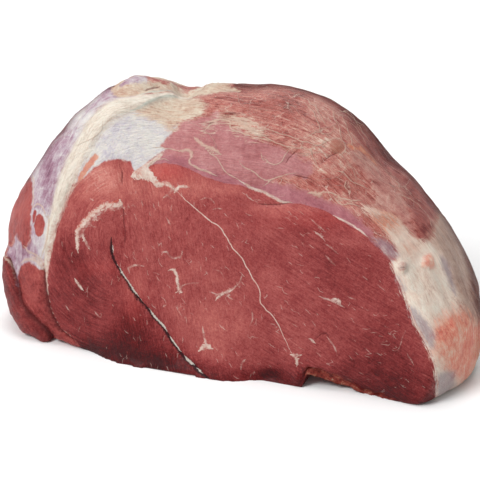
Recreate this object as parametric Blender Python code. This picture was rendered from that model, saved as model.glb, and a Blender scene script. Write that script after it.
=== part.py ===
"""A peeled beef knuckle: one boneless muscle bundle, lying on its flat underside with its cut face to -Y."""

import math

import bmesh
import bpy
import numpy as np
from mathutils import Matrix, Vector

MM = 0.001

# The middle of the finished piece on the floor, in the working millimetres below.
ORIGIN = (-3.95, 1.2, 0.0)

# Every size and place below is in millimetres. X runs along the piece, and the knife cut faces -Y.
HALF_LENGTH = 148.0
SHIFT = -2.0
RINGS = 72
SEGMENTS = 76

# Lines along the length, as (x, value): the top, the widest level, the middle of the depth,
# and how far the front, the foot of the front and the back stand out from that middle.
CROWN = (
    (-150, 55), (-133, 98), (-107, 133), (-80, 151), (-60, 148), (-48, 145), (-28, 148),
    (6, 149), (33, 144), (54, 133), (71, 118), (92, 101), (118, 79), (136, 56), (146, 34),
)
WAIST = ((-150, 55), (-90, 50), (0, 48), (90, 42), (146, 34))
MIDDLE = ((-150, -37), (-110, -18), (-40, 2), (60, 2), (110, -14), (146, -30))
FRONT_REACH = (
    (-150, 0), (-140, 23), (-130, 35), (-107, 50), (-83, 61), (-60, 72), (-25, 80),
    (60, 80), (95, 82), (113, 61), (127, 52), (136, 42), (146, 0),
)
FOOT_REACH = (
    (-150, 0), (-140, 30), (-130, 43), (-118, 53), (-107, 60), (-83, 80), (-60, 93), (-25, 97),
    (60, 95), (95, 90), (113, 74), (127, 63), (136, 46), (146, 0),
)
BACK_REACH = ((-150, 0), (-110, 62), (-40, 81), (60, 79), (110, 60), (146, 0))
BELLY = 12.0
BELLY_BLUNTNESS = 0.2

# How full each quarter of the section is, as (along Y, along Z).
TOP_FRONT = (2.0, 1.7)
TOP_BACK = (2.2, 2.2)
LOW_BACK = (2.6, 3.2)
FOOT_FULLNESS = (
    (-150, 2.4), (-118, 2.8), (-100, 4), (-60, 7),
    (100, 7), (125, 6), (138, 4), (146, 2.6),
)

# The knife cut: a plane that leans back as it rises, with three low muscle lobes in it,
# as (x, z, half width, half height, rise), and a hollow along its foot, as (x, depth).
FACE_FOOT = -80.0
FACE_LEAN = 13.0
FACE_ROUND = 5.0
LOBES = ((-84, 66, 26, 48, 3.0), (-14, 52, 34, 50, 3.0), (72, 48, 40, 34, 2.0))
FOOT_HOLLOW = (
    (-150, 10), (-100, 8), (-78, 4), (-61, -3), (-20, -4), (18, -3), (26, 2),
    (54, 3), (83, 9), (104, 5), (122, 1), (146, 2),
)
HOLLOW_HEIGHT = 13.0
BASE_ROUND = 4.0

# Swellings of the bundle, as name: (rise, half width, the line that it follows).
SWELLINGS = {
    "tendon band": (2.4, 7, (
        (-52, -8, 147), (-73, -29, 143), (-85, -40, 132), (-93, -48, 118),
        (-101, -54, 100), (-107, -58, 82), (-111, -62, 62),
    )),
    "top knob": (1.6, 8, ((-84, -8, 151), (-70, 2, 151), (-62, 5, 149))),
    "second knob": (2.2, 7, ((-32, 10, 147), (-24, 12, 148))),
    "fascia edge": (1.8, 9, ((64, -44, 103), (82, -50, 94), (103, -57, 76), (112, -62, 60), (120, -66, 44))),
}

# Grooves between the muscles, as name: (depth, half width, line).
GROOVES = {
    "saddle": (1.6, 9, ((-50, -10, 141), (-48, 6, 145), (-52, 34, 138))),
    "upright crease": (1.6, 4.5, ((-66, -53, 111), (-65, -57, 93), (-61, -63, 68))),
    "fascia fold": (2.0, 7, ((74, -28, 110), (92, -30, 97), (112, -34, 78), (130, -44, 58))),
    "back seam": (3.5, 10, ((-126, 24, 60), (-84, 68, 58), (-30, 84, 46), (30, 84, 36), (84, 68, 24))),
    "upper back seam": (3.5, 10, ((-60, 56, 118), (-20, 68, 104), (30, 76, 82), (80, 62, 58), (120, 30, 40))),
}

# The flap of the next muscle, a rounded pad that stands out under the low end: its middle,
# its reach (along X, to the front, to the back, up, down) and how square its plan and side are.
FLAP_MIDDLE = (-94.0, -20.0, 14.0)
FLAP_REACH = (60.0, 50.0, 46.0, 42.0, 22.0)
FLAP_PLAN = 2.3
FLAP_SIDE = (3.2, 3.6)
FLAP_LIFT = 0.6
FLAP_SEGMENTS = 44
FLAP_RINGS = 34

# The rolled edge of the flap, as (x, y, z, radius) along its length.
ROLL = (
    (-133, -36, 62, 3), (-135, -38, 56, 8), (-136, -41, 48, 12), (-135.5, -43, 40, 14.5),
    (-134, -45, 32, 16), (-131, -48, 25, 17), (-126, -51, 18, 18.5), (-119, -54, 13, 19.5),
    (-111, -55, 11, 18), (-104, -54, 10, 14), (-98, -52, 9, 8),
)
ROLL_SIDES = 28

# The open seam in the face, as (x, height, half width).
OPEN_SEAM = (
    (-70, 72, 0.3), (-66, 57, 1.2), (-62, 50, 1.6), (-52, 39, 1.5),
    (-41, 29, 1.3), (-31, 18, 1.4), (-20, 8, 1.6), (-14, 3, 0.6),
)
SEAM_DEPTH = 7.0
MOUTH = 9.0


def along(knots, x):
    """A smooth curve through knots of (place on the length, value), round at both ends."""
    at = np.arccos(np.clip((SHIFT - np.array([k[0] for k in knots])) / HALF_LENGTH, -1, 1))
    value = np.array([k[1] for k in knots], float)
    slope = np.gradient(value, at)
    t = np.arccos(np.clip((SHIFT - x) / HALF_LENGTH, -1, 1))
    i = np.clip(np.searchsorted(at, t) - 1, 0, len(at) - 2)
    step = at[i + 1] - at[i]
    s = np.clip((t - at[i]) / step, 0, 1)
    return (
        (1 + 2 * s) * (1 - s) ** 2 * value[i]
        + s * (1 - s) ** 2 * step * slope[i]
        + s * s * (3 - 2 * s) * value[i + 1]
        + s * s * (s - 1) * step * slope[i + 1]
    )


def soft_max(a, b, width):
    """The larger of a and b, with a rounded change-over."""
    near = np.clip(width - np.abs(a - b), 0, None) / width
    return np.maximum(a, b) + near * near * width / 4


def bundle(points):
    """The rounded muscle bundle, from the points of a unit sphere whose poles are the two ends."""
    x = points[:, 0] * HALF_LENGTH + SHIFT
    girth = np.sqrt(np.clip(1 - points[:, 0] ** 2, 0, 1))
    angle = np.arctan2(points[:, 2], points[:, 1])
    across, up = np.cos(angle), np.sin(angle)
    front, top = across < 0, up > 0
    foot = along(FOOT_FULLNESS, x)
    fullness_y = np.where(top, np.where(front, TOP_FRONT[0], TOP_BACK[0]), np.where(front, foot, LOW_BACK[0]))
    fullness_z = np.where(top, np.where(front, TOP_FRONT[1], TOP_BACK[1]), np.where(front, foot, LOW_BACK[1]))
    across = np.sign(across) * np.abs(across) ** (2 / fullness_y)
    up = np.sign(up) * np.abs(up) ** (2 / fullness_z)
    crown, waist, middle = along(CROWN, x), along(WAIST, x), along(MIDDLE, x)
    low = np.clip(-2 * up, 0, 1)
    front_reach = along(FRONT_REACH, x) * (1 - low) + along(FOOT_REACH, x) * low
    reach = np.where(front, front_reach, along(BACK_REACH, x))
    lift = np.where(top, crown - waist, (waist + BELLY) * girth**BELLY_BLUNTNESS)
    return np.column_stack((x, middle + across * reach, waist + up * lift))


def face_depth(x, z):
    """The Y of the knife cut at a place on it."""
    depth = FACE_FOOT + z * math.tan(math.radians(FACE_LEAN))
    for lobe_x, lobe_z, half_width, half_height, rise in LOBES:
        depth -= rise * np.exp(-(((x - lobe_x) / half_width) ** 2) - ((z - lobe_z) / half_height) ** 2)
    return depth + along(FOOT_HOLLOW, x) * np.exp(-np.clip(z, 0, None) / HOLLOW_HEIGHT)


def trim(points):
    """Cuts the front to the knife cut, and the underside to the floor."""
    points[:, 1] = soft_max(points[:, 1], face_depth(points[:, 0], points[:, 2]), FACE_ROUND)
    points[:, 2] = soft_max(points[:, 2], 0.0, BASE_ROUND)
    return points


def distance_to_line(points, line):
    """The distance from each point to a line of straight pieces."""
    nearest = np.full(len(points), np.inf)
    for start, end in zip(line[:-1], line[1:]):
        start, run = np.array(start, float), np.subtract(end, start)
        share = np.clip((points - start) @ run / (run @ run), 0, 1)
        nearest = np.minimum(nearest, np.linalg.norm(points - start - share[:, None] * run, axis=1))
    return nearest


def place(mesh, points):
    mesh.vertices.foreach_set("co", ((points - ORIGIN) * MM).ravel())
    mesh.update()


def push_along(mesh, points, lines, sign):
    """Moves the skin out (sign 1) or in (sign -1) along each line."""
    place(mesh, points)
    normals = np.array([normal.vector for normal in mesh.vertex_normals])
    for size, half_width, line in lines.values():
        push = sign * size * np.exp(-((distance_to_line(points, line) / half_width) ** 2))
        points = points + normals * push[:, None]
    return points


def unit_sphere(name, segments, rings):
    mesh = bpy.data.meshes.new(name)
    form = bmesh.new()
    bmesh.ops.create_uvsphere(form, u_segments=segments, v_segments=rings, radius=1)
    bmesh.ops.rotate(form, verts=form.verts, matrix=Matrix.Rotation(math.pi / 2, 3, "Y"))
    form.to_mesh(mesh)
    form.free()
    return mesh


def body():
    mesh = unit_sphere("knuckle", SEGMENTS, RINGS)
    points = bundle(np.array([v.co for v in mesh.vertices]))
    points = trim(push_along(mesh, points, SWELLINGS, 1))
    points = push_along(mesh, points, GROOVES, -1)
    points[:, 2] = np.maximum(points[:, 2], 0.0)
    place(mesh, points)
    return mesh


def course_at(stations, i):
    """The direction of a chain of places at one of them."""
    before, after = stations[max(i - 1, 0)], stations[min(i + 1, len(stations) - 1)]
    return (after - before).normalized()


def loft(name, sections):
    """A closed solid through a row of sections with the same number of corners."""
    mesh = bpy.data.meshes.new(name)
    form = bmesh.new()
    rings = [[form.verts.new((corner - Vector(ORIGIN)) * MM) for corner in section] for section in sections]
    for this, after in zip(rings[:-1], rings[1:]):
        for i in range(len(this)):
            j = (i + 1) % len(this)
            form.faces.new((this[i], this[j], after[j], after[i]))
    form.faces.new(rings[0])
    form.faces.new(rings[-1])
    bmesh.ops.recalc_face_normals(form, faces=form.faces)
    form.to_mesh(mesh)
    form.free()
    return mesh


def flap():
    """The pad of the next muscle, flat where it meets the floor."""
    mesh = unit_sphere("flap", FLAP_SEGMENTS, FLAP_RINGS)
    points = np.array([v.co for v in mesh.vertices])
    ahead, front, back, up, down = FLAP_REACH
    plan = np.hypot(points[:, 0], points[:, 1])
    heading = points[:, :2] / np.maximum(plan, 1e-6)[:, None]
    heading /= (np.abs(heading) ** FLAP_PLAN).sum(axis=1)[:, None] ** (1 / FLAP_PLAN) + 1e-9
    plan = plan ** (2 / FLAP_SIDE[0])
    rise = np.abs(points[:, 2]) ** (2 / FLAP_SIDE[1])
    x = plan * heading[:, 0] * ahead
    y = plan * heading[:, 1] * np.where(points[:, 1] < 0, front, back)
    z = np.where(points[:, 2] > 0, rise * up, -rise * down)
    points = np.column_stack((x, y, z)) + FLAP_MIDDLE
    points[:, 2] = np.maximum(points[:, 2], FLAP_LIFT)
    place(mesh, points)
    return mesh


def roll():
    """The rolled edge of the flap, flat where it meets the floor."""
    stations = [Vector(station[:3]) for station in ROLL]
    sections = []
    for i, (middle, station) in enumerate(zip(stations, ROLL)):
        course = course_at(stations, i)
        side = course.cross(Vector((1, -1, 1))).normalized()
        front = side.cross(course)
        section = []
        for k in range(ROLL_SIDES):
            angle = 2 * math.pi * k / ROLL_SIDES
            corner = middle + (side * math.cos(angle) + front * math.sin(angle)) * station[3]
            corner.z = max(corner.z, FLAP_LIFT / 2)
            section.append(corner)
        sections.append(section)
    return loft("roll", sections)


def seam_blade():
    """A wedge that follows the open seam: wide at the skin, narrow in the depth of the meat."""
    stations = [Vector((x, 0, z)) for x, z, _ in OPEN_SEAM]
    sections = []
    for i, (x, z, half_width) in enumerate(OPEN_SEAM):
        course = course_at(stations, i)
        side = Vector((-course.z, 0, course.x)) * half_width
        skin = Vector((x, float(face_depth(np.array([x]), np.array([z]))[0]), z))
        deep = skin + Vector((0, SEAM_DEPTH, 0)) - side * 2
        mouth = skin - Vector((0, MOUTH, 0))
        sections.append((mouth + side, mouth - side, skin - side, deep, skin + side))
    return loft("seam_blade", sections)


def meat():
    """Dark red lean meat with a moist skin."""
    material = bpy.data.materials.new("raw_meat")
    material.use_nodes = True
    shader = material.node_tree.nodes["Principled BSDF"]
    shader.inputs["Base Color"].default_value = (0.33, 0.08, 0.075, 1)
    shader.inputs["Roughness"].default_value = 0.42
    shader.inputs["Metallic"].default_value = 0.0
    return material


def main():
    for old in list(bpy.data.objects):
        bpy.data.objects.remove(old)
    collection = bpy.data.collections.new("peeled_knuckle")
    cutters = bpy.data.collections.new("cutters")
    for group in (collection, cutters):
        bpy.context.scene.collection.children.link(group)
    piece = bpy.data.objects.new("knuckle", body())
    piece.data.materials.append(meat())
    collection.objects.link(piece)
    for mesh, operation in ((flap(), "UNION"), (roll(), "UNION"), (seam_blade(), "DIFFERENCE")):
        tool = bpy.data.objects.new(mesh.name, mesh)
        tool.hide_render = True
        tool.display_type = "WIRE"
        cutters.objects.link(tool)
        step = piece.modifiers.new(mesh.name, "BOOLEAN")
        step.operation = operation
        step.solver = "EXACT"
        step.object = tool


main()
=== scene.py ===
import math
from itertools import product

import bpy
import numpy as np
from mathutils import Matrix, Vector
from mathutils.bvhtree import BVHTree


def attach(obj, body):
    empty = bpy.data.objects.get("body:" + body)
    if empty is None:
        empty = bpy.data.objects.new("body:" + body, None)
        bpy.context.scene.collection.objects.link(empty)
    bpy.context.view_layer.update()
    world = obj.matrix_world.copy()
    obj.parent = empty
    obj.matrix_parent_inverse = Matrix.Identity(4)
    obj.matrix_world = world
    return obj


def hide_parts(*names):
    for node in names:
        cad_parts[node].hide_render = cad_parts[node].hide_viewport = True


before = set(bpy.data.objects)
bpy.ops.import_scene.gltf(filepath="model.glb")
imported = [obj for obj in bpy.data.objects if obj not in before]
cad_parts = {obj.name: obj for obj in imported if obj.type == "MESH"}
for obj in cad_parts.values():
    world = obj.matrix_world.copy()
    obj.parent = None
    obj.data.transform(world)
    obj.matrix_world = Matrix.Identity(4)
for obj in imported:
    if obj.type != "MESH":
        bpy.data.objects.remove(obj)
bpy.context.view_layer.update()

draws = np.random.default_rng(41)

# camera
photoView = {
    "azimuth": 20.0,
    "elevation": 22.0,
    "target": (0.01395, -0.0582, 0.078),
    "distance": 1.058,
    "lens": 136.5,
    "sensor": 36.0,
    "frame": 480,
}


def viewAxes(view):
    a, e = math.radians(view["azimuth"]), math.radians(view["elevation"])
    back = np.array((math.sin(a) * math.cos(e), -math.cos(a) * math.cos(e), math.sin(e)))
    right = np.array((math.cos(a), math.sin(a), 0.0))
    return right, np.cross(back, right), back


viewRight, viewUp, viewBack = viewAxes(photoView)
eye = np.array(photoView["target"]) + photoView["distance"] * viewBack
pixelFocal = photoView["lens"] / photoView["sensor"] * photoView["frame"]
middle = photoView["frame"] / 2
mmPerPixel = photoView["distance"] / pixelFocal * 1000


def toPixels(points):
    away = points - eye
    depth = -(away @ viewBack)
    return np.stack((middle + pixelFocal * (away @ viewRight) / depth,
                     middle - pixelFocal * (away @ viewUp) / depth), 1)


def rayThrough(u, v):
    ray = -viewBack * pixelFocal + viewRight * (u - middle) - viewUp * (v - middle)
    return Vector(ray / np.linalg.norm(ray))


# small maths helpers
def smooth(low, high, value):
    t = np.clip((value - low) / (high - low), 0, 1)
    return t * t * (3 - 2 * t)


lattice = np.random.default_rng(5).random(8192)


# smooth random values from -1 to 1
def cloud(points, size, layer=0):
    q = points / np.asarray(size, float) + layer * 7.31
    cell = np.floor(q).astype(np.int64)
    part = q - cell
    part = part * part * (3 - 2 * part)
    total = np.zeros(len(q))
    for corner in product((0, 1), repeat=q.shape[1]):
        key = np.full(len(q), layer * 911, np.int64)
        weight = np.ones(len(q))
        for axis, step in enumerate(corner):
            key = key * 31 + (cell[:, axis] + step) * (73856093, 19349663, 83492791)[axis]
            weight *= part[:, axis] if step else 1 - part[:, axis]
        key ^= key >> 15
        key = (key * 668265263) & 0x7FFFFFFF
        key ^= key >> 13
        total += weight * lattice[key & 8191]
    return total * 2 - 1


# a smooth path through the points, with a point about every spacing
def throughPoints(points, spacing):
    points = np.array(points, float)
    ends = np.vstack((2 * points[0] - points[1], points, 2 * points[-1] - points[-2]))
    pieces = []
    for i in range(1, len(ends) - 2):
        a, b, c, d = ends[i - 1:i + 3]
        count = max(2, int(np.linalg.norm((c - b)[:2]) / spacing))
        t = np.linspace(0, 1, count, endpoint=False)[:, None]
        pieces.append(0.5 * (2 * b + (c - a) * t + (2 * a - 5 * b + 4 * c - d) * t ** 2
                             + (3 * b - a - 3 * c + d) * t ** 3))
    pieces.append(points[-1:])
    return np.vstack(pieces)


# distance to an outline in pixels, positive inside it
def edgeDistance(places, outline):
    outline = np.array(outline, float)
    best = np.full(len(places), 1e9)
    inside = np.zeros(len(places), bool)
    for a, b in zip(outline, np.roll(outline, -1, 0)):
        way = b - a
        t = np.clip((places - a) @ way / (way @ way), 0, 1)
        best = np.minimum(best, np.linalg.norm(places - a - t[:, None] * way, axis=1))
        crosses = (a[1] > places[:, 1]) != (b[1] > places[:, 1])
        with np.errstate(divide="ignore", invalid="ignore"):
            inside ^= crosses & (places[:, 0] < a[0] + (places[:, 1] - a[1]) * way[0] / way[1])
    return np.where(inside, best, -best)


# the body's mesh
bodyShape = {
    "voxel": 0.00143,
    "smoothing": 10,
    "formSmoothing": 14,
}


def surfaceMesh():
    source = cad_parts["knuckle"]
    rough = bpy.data.objects.new("roughBody", source.data.copy())
    bpy.context.scene.collection.objects.link(rough)
    remesh = rough.modifiers.new("evenSkin", "REMESH")
    remesh.mode = "VOXEL"
    remesh.voxel_size = bodyShape["voxel"]
    bpy.context.view_layer.update()
    evaluated = rough.evaluated_get(bpy.context.evaluated_depsgraph_get())
    mesh = bpy.data.meshes.new_from_object(evaluated)
    bpy.data.objects.remove(rough)
    return mesh


def arraysOf(mesh):
    places = np.empty(len(mesh.vertices) * 3)
    mesh.vertices.foreach_get("co", places)
    edges = np.empty(len(mesh.edges) * 2, int)
    mesh.edges.foreach_get("vertices", edges)
    corners = np.empty(len(mesh.loops), int)
    mesh.loops.foreach_get("vertex_index", corners)
    starts = np.empty(len(mesh.polygons), int)
    mesh.polygons.foreach_get("loop_start", starts)
    totals = np.empty(len(mesh.polygons), int)
    mesh.polygons.foreach_get("loop_total", totals)
    return places.reshape(-1, 3), edges.reshape(-1, 2), corners, starts, totals


def neighbourMean(values, edges):
    total = np.zeros_like(values)
    count = np.bincount(edges.ravel(), minlength=len(values))
    for axis in range(values.shape[1]):
        total[:, axis] = (np.bincount(edges[:, 0], values[edges[:, 1], axis], len(values))
                          + np.bincount(edges[:, 1], values[edges[:, 0], axis], len(values)))
    return total / np.maximum(count, 1)[:, None]


def relax(places, edges, rounds):
    for _ in range(rounds):
        places = places + 0.5 * (neighbourMean(places, edges) - places)
        places = places - 0.52 * (neighbourMean(places, edges) - places)
    return places


def normalsOf(places, quads):
    crossed = np.cross(places[quads[:, 2]] - places[quads[:, 0]],
                       places[quads[:, 3]] - places[quads[:, 1]])
    total = np.zeros_like(places)
    for corner in range(4):
        for axis in range(3):
            total[:, axis] += np.bincount(quads[:, corner], crossed[:, axis], len(places))
    return total / (np.linalg.norm(total, axis=1)[:, None] + 1e-12)


bodyMesh = surfaceMesh()
skin, edges, corners, starts, totals = arraysOf(bodyMesh)
assert totals.min() == 4 and totals.max() == 4
quads = corners.reshape(-1, 4)
skin = relax(skin, edges, bodyShape["smoothing"])
normals = normalsOf(skin, quads)
formNormals = normals.copy()
for _ in range(bodyShape["formSmoothing"]):
    formNormals = formNormals + neighbourMean(formNormals, edges)
    formNormals /= np.linalg.norm(formNormals, axis=1)[:, None]
tree = BVHTree.FromPolygons(skin.tolist(), quads.tolist())
print("body mesh", len(skin), "points", len(quads), "faces")

# each point's place in the photograph, unrolled past the outline so that it goes on round the back
unroll = {"reach": 135.0}


def unrolledPixels(points, facings):
    seen = toPixels(points)
    toEye = eye - points
    toEye /= np.linalg.norm(toEye, axis=1)[:, None]
    facing = np.sum(facings * toEye, 1)
    outward = np.stack((facings @ viewRight, -(facings @ viewUp)), 1)
    outward /= np.linalg.norm(outward, axis=1)[:, None] + 1e-9
    beyond = np.arcsin(np.clip(-facing, 0, 1))
    shift = unroll["reach"] * (1 - np.cos(beyond) + beyond)
    return seen + outward * shift[:, None], facing


pixels, facing = unrolledPixels(skin, formNormals)
skinMm = skin * 1000

# place round the body, in mm, for the streaks; its axis drops towards the ends so that they don't meet there
girth = {"axisHeight": 62, "axisBack": 1, "reach": 84, "drop": 100, "dropFrom": 30, "dropTo": 150}
axisDrop = smooth(girth["dropFrom"], girth["dropTo"], np.abs(skinMm[:, 0])) * girth["drop"]
aboveAxis = skinMm[:, 2] - girth["axisHeight"] + axisDrop
girthMm = np.arctan2(aboveAxis, -(skinMm[:, 1] + girth["axisBack"])) * girth["reach"]
underside = smooth(0.55, 0.9, -formNormals[:, 2]) * smooth(14, 6, skinMm[:, 2])

# outlines of the finishes, in pixels of the photograph
outlines = {
    "face": ((58, 218), (53, 234), (50.5, 248), (48, 264), (46.5, 277), (46.5, 289), (49.5, 306), (54, 318),
        (61.5, 329), (72, 337), (80, 346), (80, 620), (436, 620), (436, 396), (436.7, 382), (434.4, 367),
        (429.8, 351.6), (423.7, 339.4), (416, 327), (411.4, 315), (406.8, 302.7), (402, 290.4), (397.7, 279.7),
        (393, 269), (391.5, 261), (382.4, 252), (371.6, 240), (362.4, 233.8), (350, 226), (341, 220), (330, 213.5),
        (318, 208), (305, 205), (292, 203), (281, 202), (273, 198), (264, 193), (252, 189.5), (241, 185.5),
        (230, 184), (218, 181), (203, 176.3), (192, 170), (181, 165.6), (166, 162.6), (157, 164), (149, 165.6),
        (142, 170), (137, 173), (134, 167), (130, 160), (120, 158), (108.7, 158.7), (95, 165.6), (87, 175),
        (79.6, 182.5), (72, 190), (64, 201)),
    "silver": ((90, 128), (104, 114), (125, 106), (138, 106), (150, 110), (165, 117), (179, 124), (171, 134),
        (160, 146), (168, 149), (155, 156), (147, 163), (137, 174), (133, 168), (130, 161), (120, 159), (108, 160),
        (95, 167), (84, 178), (76, 182), (82, 160)),
    "beige": ((128, 104), (141, 101), (152, 96), (168, 92), (182, 93), (192, 96), (200, 100), (207, 105),
        (203, 111), (201, 116), (190, 119), (182, 121), (177, 128), (169, 132), (160, 124), (147, 117), (134, 114)),
    "knobs": ((118, 84), (126, 79), (134, 76), (148, 76), (163, 79), (178, 83), (184, 88), (195, 88), (206, 84),
        (215, 80), (224, 80), (233, 85), (240, 88), (225, 91), (210, 93), (195, 94), (184, 92.5), (168, 90),
        (150, 92), (138, 95), (128, 96), (119, 97), (112, 94), (104, 60), (150, 20), (236, 20), (236, 80)),
    "purple": ((160, 146), (170, 134), (178, 126), (183, 121), (196, 118), (206, 116), (216, 113), (226, 118),
        (230, 127), (241, 132), (252, 138), (262, 141), (276, 146), (288, 152), (300, 156), (311, 163), (314, 171),
        (306, 177), (296, 174), (282, 177), (272, 181), (290, 186), (305, 191), (318, 197), (335, 204), (350, 212),
        (362, 222), (372, 236), (366, 240), (340, 224), (318, 213), (292, 208), (270, 203), (241, 190), (218, 186),
        (192, 176), (166, 168), (140, 174), (147, 163), (155, 156)),
    "violet": ((146, 167), (152, 161), (160, 157), (172, 155), (186, 158), (197, 165), (210, 171), (226, 175),
        (240, 181), (256, 187), (268, 184), (280, 184), (292, 189), (306, 194), (320, 200), (340, 208), (357, 218),
        (373, 234), (368, 240), (340, 226), (318, 214), (292, 209), (268, 202), (241, 191), (218, 187), (192, 177),
        (166, 169), (150, 171)),
    "leftVeil": ((147, 86), (140, 97), (126, 104), (110, 115), (96, 130), (84, 150), (74, 170), (66, 188),
        (60, 204), (53, 222), (49, 240), (46, 254), (44.5, 264), (44, 271), (37, 266), (29, 262), (23, 263),
        (19.5, 271), (16.5, 285), (13.5, 273), (10.5, 263), (8, 257), (9, 250), (5, 243), (12, 246), (17, 235),
        (24.5, 249), (31, 240), (33, 207), (33, 184), (29, 174), (-40, 168), (-90, 60), (40, -60), (147, -40)),
    "fascia": ((361, 206), (372, 208), (380, 211), (390, 213), (398, 218), (404, 226), (410, 235), (416, 240),
        (423, 242), (431, 241), (435, 230), (438, 214), (446, 214), (520, 190), (700, 260), (640, 620), (436, 560),
        (436, 396), (436.7, 382), (434.4, 367), (429.8, 351.6), (423.7, 339.4), (416, 327), (411.4, 315),
        (406.8, 302.7), (402, 290.4), (397.7, 279.7), (393, 269), (392, 262), (398, 257), (394, 246), (387, 236),
        (378, 226), (370, 217), (364, 212)),
    "pinkPatch": ((439, 318), (452, 311), (468, 316), (490, 330), (488, 356), (472, 380), (462, 392), (454, 376),
        (445, 367), (437.5, 358), (433, 345), (435, 330)),
    "blueEdge": ((371, 238), (382, 239), (394, 246), (398.5, 256), (393, 261), (384, 253)),
    "blueSlip": ((395, 276), (399, 277), (406, 290), (403, 292)),
    "bluePatch": ((408, 305), (415, 309), (421, 315), (431, 326), (435, 336), (434, 348), (428, 346), (419, 329),
        (411, 316)),
    "blueFoot": ((437, 375), (446, 371), (454, 372), (455, 384), (448, 394), (437, 400)),
    "sideMuscle": ((30, 174), (33, 183), (33, 207), (31, 240), (24.5, 249), (20, 241), (15, 235), (11, 246),
        (5, 243), (-90, 246), (-110, 200), (-70, 168)),
    "padMuscle": ((-2, 250), (4, 256), (9, 261), (14, 280), (17, 276), (20, 269), (24, 262), (30, 261), (37, 265),
        (43, 270), (46, 277), (46, 289), (49, 306), (54, 318), (61.5, 329), (72, 337), (80, 346), (80, 620),
        (-140, 620), (-140, 250)),
    "rightMuscle": ((300, 84), (318, 98), (333, 108), (345, 120), (353, 131), (359, 141), (364, 147.5), (370, 154),
        (376, 160), (384, 167), (392, 176), (399, 187), (405, 198), (410, 208), (414, 219), (418, 231),
        (423, 240.5), (430, 239), (434, 229), (437, 214), (452, 214), (500, 170), (470, 90), (400, 60), (320, 60)),
    "mauve": ((350, 152), (362, 149), (370, 156), (378, 165), (386, 174), (394, 184), (401, 196), (407, 208),
        (411, 220), (414, 233), (408, 232), (402, 222), (394, 215), (384, 211), (373, 206), (379, 196), (371, 182),
        (360, 170), (352, 162)),
    # painted shade along the top and right outline, where the meat turns away
    "topRimShade": ((234, 86), (262, 89), (285, 89), (300, 92), (318, 98), (334, 106), (348, 116), (361, 128),
        (376, 143), (391, 161), (406, 176), (420, 191), (434, 208), (449, 228), (460, 249), (468, 272), (473, 300),
        (475, 330), (470, 358), (486, 360), (492, 330), (490, 300), (484, 265), (474, 238), (460, 212), (442, 190),
        (424, 170), (404, 148), (384, 126), (362, 104), (340, 88), (310, 74), (270, 68), (234, 66)),
    "greyVeil": ((426, 240), (433, 226), (437, 206), (441, 196), (470, 190), (520, 220), (560, 290), (552, 350),
        (510, 372), (480, 358), (469, 330), (462, 306), (455, 290), (447, 272), (438, 254)),
    # painted shade along the left outline, where the meat turns away
    "leftRimShade": ((28, 182), (35, 170), (43, 158), (53, 144), (65, 129), (76, 116), (89, 104), (104, 92), (118, 84),
        (110, 70), (90, 80), (68, 100), (46, 124), (28, 148), (12, 176)),
    "roundPatch": ((329, 146), (331, 141.5), (335, 139.5), (340, 140.5), (344, 144.5), (344, 149.5), (341, 153.5),
        (336, 155), (331.5, 152.5)),
    "orangeStreak": ((348, 144.5), (352, 144), (356, 146), (362, 148), (367, 152), (373, 157), (380, 165),
        (377, 164), (370, 158.5), (364, 154), (357, 150.5), (350, 149)),
    "island": ((421, 262), (423, 256), (427, 253.5), (430, 256), (433, 262), (434, 268), (429, 270), (424, 268.5),
        (421, 267)),
    "blueStreak": ((440, 256), (445, 261), (450, 272), (453, 285), (455, 297), (450, 291), (446, 279), (441, 268)),
    "nodule": ((396.5, 267), (397.5, 264), (400, 262.3), (403, 262.6), (405.3, 264.8), (405.8, 268), (404.4, 271),
        (401.5, 272.6), (398.6, 271.6), (397, 269.5)),
    "fatNode": ((131, 176.5), (134, 171.5), (141, 167), (147, 163.5), (155, 158), (164, 151.5), (162, 157.5),
        (154, 163.5), (148.5, 167.5), (153, 173), (158, 180), (161, 184), (157, 186), (150, 181.5), (142, 178.5),
        (137, 180)),
    "orangeEdge": ((96, 153), (98.5, 157), (94, 165), (88, 171.5), (83, 179), (78.5, 182), (78, 177), (84, 167),
        (90, 159)),
    "palePatch": ((203, 133), (205, 125), (214, 119), (226, 114), (238, 115), (250, 121), (262, 130), (268, 139),
        (258, 139), (247, 136), (236, 131), (230, 124), (219, 122), (211, 127)),
    "tornFoot": ((303.5, 366), (310, 368), (319, 371), (328, 375.5), (338, 380), (350, 384), (362, 388.5),
        (380, 394.5), (392, 400), (392, 425), (300, 425), (304.5, 380)),
    "padSlab": ((3, 256.7), (7.7, 256.7), (12, 270.5), (18, 290), (27.6, 305.7), (39.8, 321), (52, 331.7),
        (62, 337.9), (64, 346), (20, 346), (0, 300), (-20, 270)),
    "strip": ((19.9, 275), (23, 262), (29, 261.3), (36.7, 264.4), (44.4, 270.5), (44, 289), (47, 305), (52, 318),
        (60, 331), (63, 338), (50, 328.7), (38, 318), (28, 305.7), (23, 289)),
    "redWindow": ((40, 213), (43.5, 217), (45.5, 225), (43.5, 234), (40, 237.5), (36.5, 234), (34.8, 225),
        (37, 216)),
    "redSliver": ((35.6, 209), (37.5, 212), (36, 220), (34, 224), (33.5, 216)),
}
regionDistance = {name: edgeDistance(pixels, outline) * mmPerPixel for name, outline in outlines.items()}

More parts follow.
